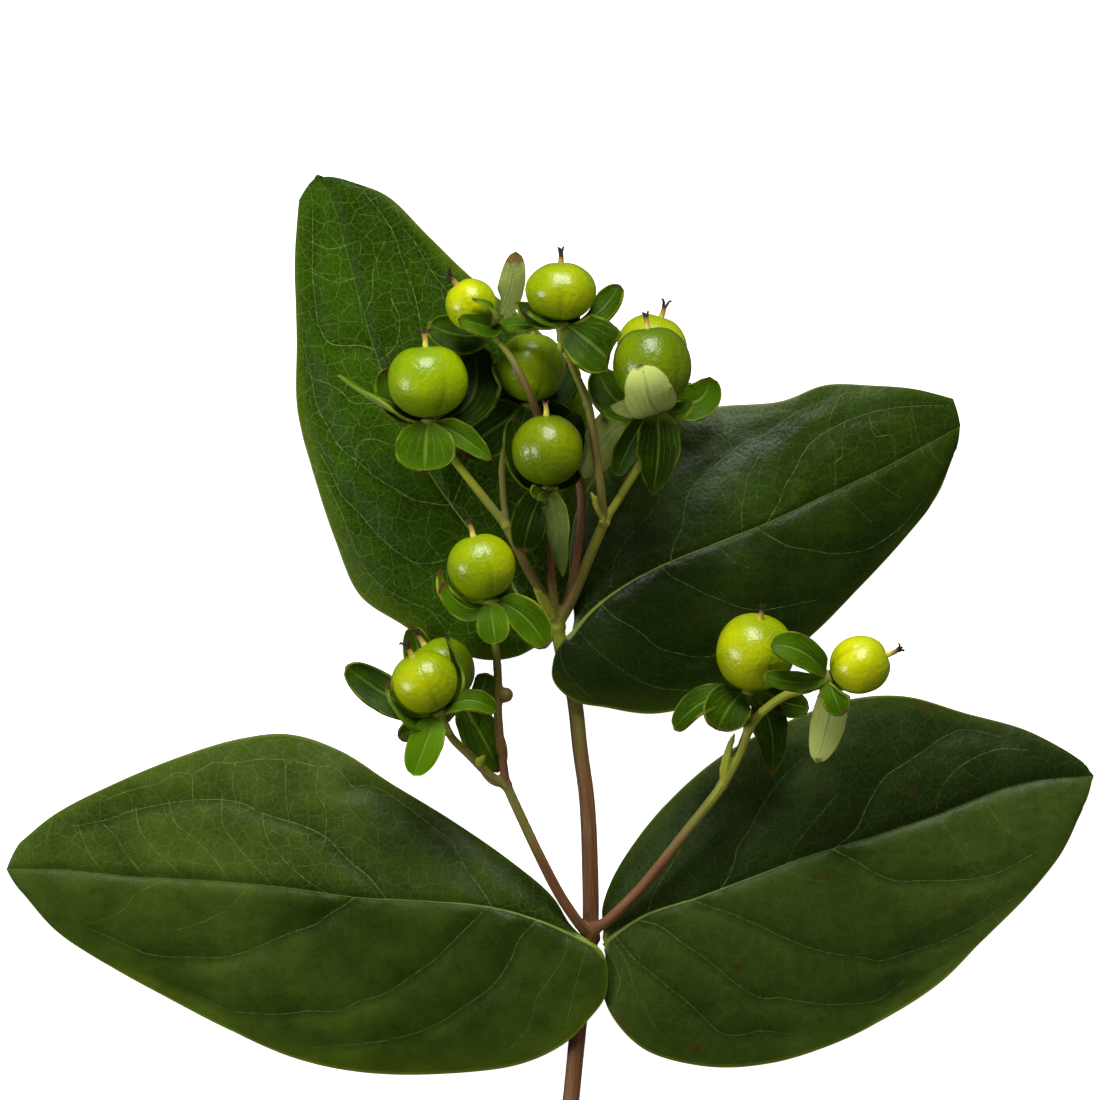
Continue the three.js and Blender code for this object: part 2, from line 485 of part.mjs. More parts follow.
// Moves a point out of every berry, and past its root out of every twig, until it stands SEPAL_CLEARANCE off
// the skin.
function bentClear(point, pastRoot) {
  for (const { centre, radius } of pastRoot ? TWIG_BEADS : []) {
    const reach = radius + SEPAL_CLEARANCE;
    const off = point.clone().sub(centre);
    if (off.length() < reach) point.copy(centre).addScaledVector(off.normalize(), reach);
  }
  for (const berry of Object.values(BERRIES)) {
    const axis = axisOf(berry);
    const from = point.clone().sub(vec(berry.middle));
    const along = from.dot(axis);
    const out = Math.sqrt(Math.max(from.lengthSq() - along * along, 0));
    const depth = Math.hypot(out / (berry.radius + SEPAL_CLEARANCE), along / (berry.half + SEPAL_CLEARANCE));
    if (depth < 1) point.sub(from).addScaledVector(from, 1 / Math.max(depth, LEAST_DEPTH));
  }
  return point;
}

// ---- sepals ----
function sepal(root, via, tip, width, face, blunt, bend) {
  const path = new THREE.QuadraticBezierCurve3(root, vec(via), vec(tip));
  const middle = [];
  for (let i = 0; i <= SEPAL_STATIONS; i++) {
    const t = i / SEPAL_STATIONS;
    const centre = path.getPoint(t);
    const side = vec(face).cross(path.getTangent(t)).normalize();
    const inner = path.getTangent(t).cross(side).normalize();
    const half = (width / 2) * (blunt ? BLUNT : POINTED)[i];
    middle.push([-1, 0, 1].map((s) => {
      const p = centre.clone().addScaledVector(side, s * half);
      p.addScaledVector(inner, (s === 0 ? -1 : 1) * half * SEPAL_CUP);
      return bend(p, i > 0);
    }));
  }
  const normal = (i, j) => {
    const up = middle[Math.min(i + 1, SEPAL_STATIONS)][j].clone().sub(middle[Math.max(i - 1, 0)][j]);
    const over = middle[i][Math.min(j + 1, 2)].clone().sub(middle[i][Math.max(j - 1, 0)]);
    return up.cross(over).normalize().multiplyScalar(SEPAL_THICKNESS / 2);
  };
  return blade(middle, (i, j) => normal(i, j));
}

// The cup and the neck below it, turned round the berry's axis.
function cup(berry) {
  const rim = -berry.half - GAP;
  const foot = rim - CUP_DEPTH;
  const end = foot - NECK_LENGTH;
  const profile = [[0, end], [NECK_RADIUS, end], [CUP_RADIUS * CUP_FOOT, foot], [CUP_RADIUS, rim], [0, rim]]
    .map(([radius, height]) => new THREE.Vector2(radius, height));
  const turned = new THREE.LatheGeometry(profile, CUP_SIDES);
  return ontoBerry(mergeCorners(cornersOf(turned), [...turned.index.array]).rotateX(Math.PI / 2), berry);
}

function calyx(berry) {
  const heart = below(berry, GAP + CUP_DEPTH / 2);
  const sepals = berry.sepals.map(([via, tip, width, face, blunt]) => {
    const outward = vec(via).sub(heart).projectOnPlane(axisOf(berry)).normalize();
    const root = heart.clone().addScaledVector(outward, CUP_RADIUS * ROOT_SINK);
    return sepal(root, via, tip, width, face, blunt, bentClear);
  });
  return fuse([cup(berry), ...sepals]);
}

// ---- styles: a short stalk on the berry's top that parts into bent hairs ----
function styles(berry) {
  const foot = new THREE.Vector3(0, 0, berry.half + GAP);
  const top = new THREE.Vector3(0, 0, foot.z + STYLE_STALK);
  const stalk = new THREE.LineCurve3(foot, top);
  const pieces = [tube(stalk, HAIR_RADIUS * STYLE_FOOT, HAIR_RADIUS * STYLE_TOP, 1, STYLE_SIDES)];
  for (let n = 0; n < HAIRS; n++) {
    const angle = (2 * Math.PI * n) / HAIRS;
    const bend = HAIR_BEND.map(([out, up]) => new THREE.Vector3(
      Math.cos(angle) * out, Math.sin(angle) * out, top.z + up));
    const hair = new THREE.QuadraticBezierCurve3(...bend);
    pieces.push(tube(hair, HAIR_RADIUS, HAIR_RADIUS * HAIR_TIP, 2, HAIR_SIDES));
  }
  return ontoBerry(fuse(pieces), berry);
}

// ---- the woody framework ----
function twigCurve({ path, berry }) {
  const points = path.map(vec);
  if (berry) {
    const end = GAP + CUP_DEPTH + NECK_LENGTH + GAP;
    points.push(below(BERRIES[berry], end + TWIG_END), below(BERRIES[berry], end));
  }
  return new THREE.CatmullRomCurve3(points, false, "centripetal");
}

function twigBeads(twig) {
  const curve = twigCurve(twig);
  const count = Math.ceil(curve.getLength() / BEAD_SPACING);
  return curve.getSpacedPoints(count).map((centre) => ({ centre, radius: twig.from }));
}
const TWIG_BEADS = TWIGS.flatMap(twigBeads);

function twigSolid(twig) {
  const sides = twig.from > THIN_TWIG ? TWIG_SIDES : TWIG_SIDES - 1;
  return tube(twigCurve(twig), twig.from, twig.to, twig.cells, sides);
}

function swelling([point, radius]) {
  const corners = cornersOf(new THREE.IcosahedronGeometry(radius, BALL_DETAIL));
  return mergeCorners(corners, corners.map((_, i) => i)).translate(...point);
}

function stem() {
  const asDrawn = (p) => p;
  const bracts = BRACTS.map(([root, via, tip, width, face]) => (
    sepal(vec(root), via, tip, width, face, false, asDrawn)));
  return fuse([...TWIGS.map(twigSolid), ...SWELLINGS.map(swelling), ...bracts]);
}

// ---- the whole part ----
const part = new THREE.Group();
part.name = "hypericum_berry_stem";

function place(name, geometry, colour, roughness) {
  geometry.computeVertexNormals();
  const mesh = new THREE.Mesh(geometry, new THREE.MeshStandardMaterial({ color: colour, roughness }));
  mesh.name = name;
  mesh.material.name = `${name}_skin`;
  part.add(mesh);
}

place("stem", stem(), STEM_GREEN, ROUGHNESS.stem);
for (const [name, shape] of Object.entries(LEAVES)) {
  place(`leaf_${name}`, leaf(shape), LEAF_GREEN[name], ROUGHNESS.leaf);
}
Object.values(BERRIES).forEach((berry, n) => {
  const number = String(n + 1).padStart(2, "0");
  place(`berry_${number}`, berrySolid(berry), berry.colour, ROUGHNESS.berry);
  place(`calyx_${number}`, calyx(berry), SEPAL_GREEN, ROUGHNESS.calyx);
  place(`styles_${number}`, styles(berry), STYLE_BROWN, ROUGHNESS.styles);
});

export default part;
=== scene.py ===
"""Dresses the hypericum berry stem: blades with veins, glossy berries, leafy sepals and ridged bark."""

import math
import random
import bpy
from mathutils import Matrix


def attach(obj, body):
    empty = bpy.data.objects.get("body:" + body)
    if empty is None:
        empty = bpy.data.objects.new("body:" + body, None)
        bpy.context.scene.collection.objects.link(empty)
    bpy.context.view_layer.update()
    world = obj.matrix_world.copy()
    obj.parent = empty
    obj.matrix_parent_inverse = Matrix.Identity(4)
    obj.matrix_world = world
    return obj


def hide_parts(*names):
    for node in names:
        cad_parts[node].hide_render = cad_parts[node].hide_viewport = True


bl_info = {
    "name": "Hypericum berry stem",
    "version": (1, 0, 0),
    "blender": (4, 5, 0),
    "location": "View3D > Sidebar > Berry stem",
    "description": "Grows the leaves, berries, sepals, styles and twigs of a cut hypericum stem",
    "category": "Object",
}

import bpy
from mathutils import Vector, kdtree, noise

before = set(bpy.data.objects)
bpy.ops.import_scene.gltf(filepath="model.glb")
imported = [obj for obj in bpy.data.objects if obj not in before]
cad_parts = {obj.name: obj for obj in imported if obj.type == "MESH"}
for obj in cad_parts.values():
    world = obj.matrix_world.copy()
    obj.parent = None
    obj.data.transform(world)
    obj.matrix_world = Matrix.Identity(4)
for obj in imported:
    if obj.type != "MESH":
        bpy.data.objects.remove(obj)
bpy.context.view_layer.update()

MM = 0.001
UP = Vector((0, 0, 1))

# ---------------------------------------------------------------- leaves: [x, y, height] in millimetres
# A blade is stretched from its rib to the lines of its left and right margins.
# Its look is its green in the settings. Fold lifts the midrib or sinks it. The half lighting is painted light
# and shade: how bright the left and the right half are painted as the light falls on them. Net is how strong
# the net is on each half, and the light to tip paints the base darker and the tip lighter.
LEAVES = {
    "upper_left": {
        "rib": [(-1.5, 21, 8.8), (-6.5, 30, 8), (-12, 37, 7.2), (-18, 45.5, 6), (-25, 60.5, 4.2),
                (-28.5, 71.5, 3), (-33, 87, 1.9), (-35, 90, 1.6)],
        "left": [(-2, 19.5, 8.4), (-5, 18, 6.8), (-9.5, 17.5, 5.2), (-16.5, 19.5, 3.8), (-22.5, 23, 2.8),
                 (-28.4, 27.1, 2), (-32.2, 35.6, 1.2), (-35.6, 46, 0.4), (-37.9, 55, 0.1), (-38, 65.5, 0.1),
                 (-38.2, 77.5, 0.3), (-37.6, 86.4, 0.9)],
        "right": [(0.3, 23.5, 7.5), (3, 27, 7), (4.5, 33, 6.4), (6, 41.5, 6), (7, 49.5, 5.6), (5.5, 58, 5.2),
                  (-1.5, 66.5, 4.6), (-12, 74.9, 3.8), (-18.2, 80.9, 3), (-24.3, 86.8, 2.3),
                  (-29.5, 89, 1.9)],
        "look": "netted", "gloss": 0.04, "crinkle": 0.6, "quilt": 0.9, "fold": -0.25, "half_lighting": (0.55, 0.30),
        "light_to_tip": 0.15, "net": (0.70, 0.62), "margin": 0.9,
    },
    "upper_right": {
        "rib": [(3.5, 21.5, 11.3), (6.5, 25, 11.9), (11, 28.5, 12.1), (16.5, 31.5, 12), (22.5, 34, 11.2),
                (32.5, 38, 9.4), (42, 42.5, 7), (49.5, 46, 4.8), (56, 49.5, 2.6), (61.5, 52.5, 1)],
        "left": [(4, 23.5, 10), (3.2, 27.5, 9.2), (3, 33, 8.8), (4.5, 41, 8.4), (11, 49.5, 7.8),
                 (22.5, 54.8, 7), (34.5, 56.1, 6.5), (41, 58.5, 5.6), (48, 58.5, 4.2), (54.5, 58, 2.6),
                 (60.4, 56.6, 1.5)],
        "right": [(1.5, 20, 11.9), (0.5, 17.5, 12), (0.5, 14.5, 11.6), (3.5, 11.5, 11), (8, 10.5, 9.8),
                  (15.5, 9.5, 8.4), (24, 11.5, 7), (32, 15.5, 5.6), (39.5, 21.5, 4), (45.5, 27.5, 2.4),
                  (52.5, 35, 1), (58, 42, 0.2), (60.5, 48, 0.2)],
        "look": "dark", "gloss": 0.27, "crinkle": 1.0, "quilt": 0.5, "fold": -0.45, "half_lighting": (0.30, 0.12),
        "light_to_tip": 0.75, "net": (0.30, 0.12), "margin": 0.35,
    },
    "lower_left": {
        "rib": [(7, -25.5, 6.5), (3, -23.5, 7), (-1.5, -21.5, 7.6), (-8.5, -19.5, 8), (-18, -18.5, 7.8),
                (-28.5, -18, 6.6), (-40, -16.5, 4.8), (-52.5, -15.5, 3), (-63, -15, 1.8), (-73.5, -14, 1),
                (-81.5, -14, 0.6)],
        "left": [(8.1, -27, 6.7), (8.6, -29, 6.9), (8.2, -32.8, 6.7), (5.8, -36.2, 6.3), (2.2, -39.8, 5.6),
                 (-4.5, -43, 3.6), (-15, -44.5, 1.8), (-27, -44.5, 0.8), (-37.5, -42.5, 0.3),
                 (-48, -38.1, 0.1), (-57.5, -33.2, 0.1), (-66, -28.5, 0.3), (-74, -23.2, 0.4),
                 (-79, -17.5, 0.5)],
        "right": [(5.5, -25, 6.1), (2.8, -22, 5.8), (0.3, -18, 5.5), (-6, -12.6, 5.2), (-15, -6.4, 4.8),
                  (-24, -0.9, 4.2), (-31.5, 3.9, 3.4), (-39, 6.3, 2.8), (-46.5, 5.6, 2.4), (-55.5, 2.9, 1.9),
                  (-65, -1, 1.2), (-74, -5.6, 0.8), (-79.5, -10, 0.5)],
        "look": "mid", "gloss": 0.15, "crinkle": 0.7, "quilt": 1.0, "fold": 0.4, "half_lighting": (0.42, 0.42),
        "light_to_tip": 0.35, "net": (0.08, 0.45), "margin": 0.5,
    },
    "lower_right": {
        "rib": [(8, -25, 6.3), (10.5, -23, 6.9), (14.5, -20.5, 7.6), (22, -18, 8.2), (30, -15, 8.1),
                (38, -12, 7.2), (48, -9, 5.6), (58.5, -5.5, 3.8), (67.5, -2, 2.2), (74, -0.5, 1.2),
                (81.5, 0, 0.6)],
        "left": [(8.3, -23, 5), (7.9, -20, 4.6), (9.1, -16, 4.6), (11.9, -11, 4.6), (17, -4.5, 4.8),
                 (25.5, 3, 5), (35, 8, 5), (44.5, 11.5, 4.6), (53, 12, 3.8), (62, 9.5, 2.6), (71, 7, 1.4),
                 (77, 4, 0.8), (80, 2, 0.6)],
        "right": [(8.7, -26.5, 5.7), (8.2, -29.5, 5.3), (8.1, -32.8, 5.1), (10, -36.8, 4.6), (14.5, -41, 3.6),
                  (24, -43.5, 2.2), (33, -43, 1), (41.5, -40.5, 0.4), (50, -36.5, 0.1), (58.5, -31, 0.1),
                  (65, -24.5, 0.3), (71.5, -18, 0.4), (77, -11, 0.5), (80, -4.5, 0.5)],
        "look": "shade", "gloss": 0.15, "crinkle": 0.7, "quilt": 0.9, "fold": -0.55, "half_lighting": (0.08, 0.66),
        "light_to_tip": 0.25, "net": (0.18, 0.20), "margin": 0.3,
    },
}
LEAF_LOWEST = 0.375  # a blade that sags lower than this lies flat on the surface
LEAF_PILLOW = 0.7  # how far each half bulges between its midrib and its margin
LEAF_WAVE = 0.45
LEAF_WAVES = 3.5  # waves along a margin
WAVE_PHASE = (0.4, 2.3)  # of the left and the right margin

# ---------------------------------------------------------------- side veins seen from above
# width and route of each, in millimetres
SIDE_VEINS = {
    "upper_left": [
        (0.20, [(-26.5, 64), (-28.5, 64.5), (-31, 64.5), (-33, 65), (-34.5, 67.5), (-35, 70.5),
                (-35.5, 75.5), (-35.5, 80.5), (-35.5, 84.5)]),
        (0.20, [(-22.5, 56), (-20, 60), (-19, 64.5), (-19.5, 68.5), (-20.5, 73), (-22.5, 78.5),
                (-23.5, 81.5), (-25.5, 84.5), (-27.5, 87)]),
        (0.20, [(-15, 40.5), (-18.5, 41), (-20.5, 41.5), (-23, 43), (-25.5, 44.5), (-28.5, 47),
                (-31.5, 49.5), (-33.5, 53), (-35, 56), (-35.5, 59), (-36, 61.5), (-37, 65)]),
        (0.20, [(-10.5, 34.5), (-15.5, 32.5), (-17.5, 32), (-20, 32), (-22.5, 33.5), (-25.5, 36),
                (-28.5, 39.5), (-31, 42), (-33, 46), (-34.5, 48.5)]),
        (0.10, [(-3.5, 26), (-9, 22.5), (-14.5, 21.5), (-18, 25), (-20.5, 26), (-25, 28.5), (-27.5, 31),
                (-29.5, 35), (-31, 39), (-33.5, 44)]),
        (0.10, [(-23.5, 57), (-25.5, 56), (-29.5, 56), (-31, 57.5), (-32.5, 58.5), (-35, 59.5)]),
        (0.10, [(-20.5, 50.5), (-23, 49.5), (-26.5, 50.5), (-28.5, 50), (-29, 47)]),
        (0.20, [(-14.5, 40.5), (-12.5, 46), (-11, 51), (-10, 58), (-11.5, 64.5), (-14, 70.5), (-18, 76),
                (-20, 79.5), (-21.5, 81.5)]),
        (0.10, [(-27.5, 69.5), (-26.5, 72), (-26.5, 75), (-26, 77), (-25, 79.5)]),
        (0.10, [(-25, 62.5), (-23, 64.5), (-22.5, 68.5), (-23.5, 71)]),
        (0.10, [(-30.5, 79.5), (-33, 79), (-35.5, 80)]),
        (0.10, [(-29.5, 74.5), (-32, 74), (-35.5, 75.5)]),
        (0.10, [(-18, 39), (-18.5, 36), (-16.5, 33)]),
    ],
    "upper_right": [
        (0.20, [(18, 33), (18.5, 35), (19.5, 37), (20, 39.5), (20.5, 42), (21.5, 43.5), (23.5, 45.5),
                (26.5, 48), (29, 50), (32, 51), (36, 54), (41.5, 56.5)]),
        (0.20, [(32.5, 38.5), (34, 41), (35, 43.5), (36.5, 46), (37.5, 48), (39, 50), (41, 51.5),
                (44, 53), (46.5, 54), (50.5, 55), (55.5, 55.5), (59, 55.5)]),
        (0.10, [(41.5, 53), (42.5, 55.5), (43.5, 57), (45.5, 57.5), (48, 57), (49.5, 58)]),
        (0.10, [(42.5, 42.5), (42.5, 45), (42.5, 47), (43.5, 48), (43.5, 50.5), (44, 53)]),
        (0.10, [(28.5, 36.5), (28.5, 40), (29, 42.5), (29.5, 45), (31, 47.5)]),
        (0.10, [(9, 29), (10, 33), (12, 36), (15.5, 40), (17, 43.5)]),
        (0.10, [(51.5, 47), (51, 51), (48.5, 51), (47.5, 54)]),
        (0.10, [(55.5, 49), (54.5, 52.5), (54, 55.5)]),
        (0.20, [(16.5, 31.5), (18, 30), (20, 29), (23, 27.5), (25.5, 26.5), (28, 25.5), (31.5, 25),
                (34.5, 25.5), (39.5, 26.5)]),
        (0.20, [(31, 37), (33.5, 35.5), (35.5, 34.5), (38.5, 34), (41.5, 33.5), (43.5, 33.5), (47, 34),
                (49, 35), (52.5, 37.5), (55.5, 41)]),
        (0.10, [(43.5, 42), (45.5, 40.5), (47.5, 38.5)]),
        (0.10, [(47.5, 45), (49.5, 43.5), (52, 42)]),
        (0.10, [(56.5, 50), (57.5, 48), (58.5, 47), (60.5, 47.5)]),
        (0.20, [(7.5, 26), (9.5, 24), (13, 22), (16, 19.5), (19.5, 18.5), (22.5, 18), (27.5, 19),
                (35.5, 21.5)]),
        (0.10, [(3.5, 23), (5.5, 20.5), (7.5, 18.5), (9.5, 17), (12.5, 15), (16, 13.5), (21.5, 13)]),
        (0.10, [(3, 22.5), (1.5, 18.5), (3, 15), (6, 12)]),
        (0.10, [(25.5, 34), (27.5, 32), (29, 31.5)]),
    ],
    "lower_left": [
        (0.20, [(-24.5, -18), (-27, -15), (-30, -12.5), (-33.5, -9), (-36.5, -7.5), (-39.5, -6.5),
                (-43, -5.5), (-46, -4), (-49, -3.5), (-52.5, -3.5), (-57, -4), (-62, -5), (-66.5, -6.5),
                (-71.5, -7.5)]),
        (0.10, [(-29.5, -1.5), (-32.5, 1.5), (-34.5, 1.5), (-39.5, 2.5), (-44, 2.5), (-47, 2), (-50.5, 2),
                (-53.5, 0.5), (-56, 0.5), (-58.5, -1), (-62.5, -2), (-66.5, -3.5)]),
        (0.20, [(-8.5, -19.5), (-10.5, -16.5), (-13, -13), (-15, -9.5), (-17, -8), (-21.5, -4.5),
                (-26.5, -1.5), (-29.5, -1.5)]),
        (0.10, [(-41.5, -16), (-44.5, -13), (-47, -10), (-49, -7), (-49, -3.5)]),
        (0.10, [(-47.5, -16), (-50.5, -12), (-53.5, -9), (-56, -7), (-57, -4)]),
        (0.10, [(-54, -15.5), (-57, -13), (-60, -10), (-61.5, -7.5), (-62, -5)]),
        (0.10, [(-60.5, -15), (-63.5, -11.5), (-65, -9), (-66.5, -7.5)]),
        (0.10, [(-66.5, -14.5), (-69, -11.5), (-70.5, -8)]),
        (0.10, [(-33.5, -17), (-37.5, -14.5), (-40.5, -11.5), (-42.5, -8.5), (-43, -5.5)]),
        (0.10, [(-39, -6.5), (-39.5, -2), (-39.5, 2.5)]),
        (0.10, [(-47, -3.5), (-47.5, -1), (-47, 2)]),
        (0.10, [(-53.5, -3.5), (-53.5, 0.5)]),
        (0.10, [(-33.5, -9), (-33.5, -5), (-35, -2), (-34.5, 1.5)]),
        (0.20, [(-29, -18), (-33, -20.5), (-35, -22), (-38, -23), (-40.5, -24), (-45, -26), (-49, -27),
                (-53.5, -27), (-57, -27), (-60.5, -26.5), (-64, -25), (-68.5, -23)]),
        (0.20, [(-10.5, -20.5), (-13, -23), (-15, -25), (-17, -27), (-19, -28.5), (-22.5, -31),
                (-25, -32.5), (-28.5, -33.5), (-31.5, -35), (-36, -35), (-39.5, -35.5), (-44, -35.5),
                (-48, -35), (-52.5, -33)]),
        (0.20, [(-2, -21.5), (-4.5, -24), (-6, -27.5), (-8.5, -31), (-12.5, -34), (-17, -37),
                (-22.5, -39), (-28.5, -40), (-35, -40.5)]),
        (0.10, [(2, -23), (2.5, -25.5), (0, -30), (-2, -33), (-3, -37), (-5.5, -40)]),
        (0.10, [(5.5, -25), (4.5, -28.5), (3.5, -32), (2.5, -36.5)]),
        (0.10, [(-58.5, -16), (-62, -17.5), (-64, -20), (-69, -22)]),
        (0.10, [(-45, -16.5), (-48, -19.5), (-51.5, -21.5), (-56, -23)]),
    ],
    "lower_right": [
        (0.20, [(25.5, -16.5), (26.5, -15), (27.5, -12.5), (28, -10.5), (30, -7.5), (31, -5.5), (34, -1),
                (37.5, 2.5)]),
        (0.20, [(42.5, -10.5), (45.5, -8), (47, -5), (48, -3), (50, 0), (53, 2), (56, 4), (59, 6),
                (62, 7), (67, 6)]),
        (0.10, [(57.5, -5.5), (58.5, -1.5), (62, 2), (67, 4), (71, 4)]),
        (0.10, [(14.5, -20), (16, -16.5), (18.5, -12.5), (21, -8)]),
        (0.10, [(35, -13), (37, -9.5), (39.5, -6.5), (42.5, -3)]),
        (0.20, [(42.5, -11), (45.5, -12.5), (48, -14), (51.5, -15.5), (55.5, -15.5), (60.5, -15.5),
                (65, -15), (68, -14), (72.5, -11.5)]),
        (0.20, [(21.5, -18.5), (24.5, -19.5), (27.5, -20.5), (31, -22), (34, -23.5), (37.5, -25),
                (40.5, -26), (43, -26.5), (46.5, -27), (49.5, -27.5), (53, -26.5), (59, -24.5),
                (65, -21.5), (69, -18.5)]),
        (0.20, [(13.5, -21.5), (16, -22), (19.5, -24.5), (22.5, -26.5), (25, -28.5), (28, -31),
                (31.5, -33), (34, -33), (37, -33.5), (41, -34), (44.5, -34), (49, -33.5), (52.5, -31)]),
        (0.20, [(10, -24), (12.5, -27), (15.5, -29.5), (18.5, -32), (21, -34), (24, -37), (26, -38.5),
                (29, -38.5), (31.5, -38), (36, -38.5)]),
        (0.10, [(9.5, -24.5), (11.5, -28), (12.5, -31), (14, -34), (15.5, -37)]),
        (0.10, [(9, -26.5), (10.5, -30), (10, -32.5)]),
        (0.10, [(65, -3.5), (67, -6.5), (69.5, -9)]),
        (0.10, [(34.5, -13.5), (37.5, -15), (40.5, -15.5)]),
        (0.10, [(58, -6), (60.5, -9.5), (62.5, -12.5), (65, -15)]),
    ],
}
FINE_VEIN = 0.15  # veins narrower than this don't sink into a valley

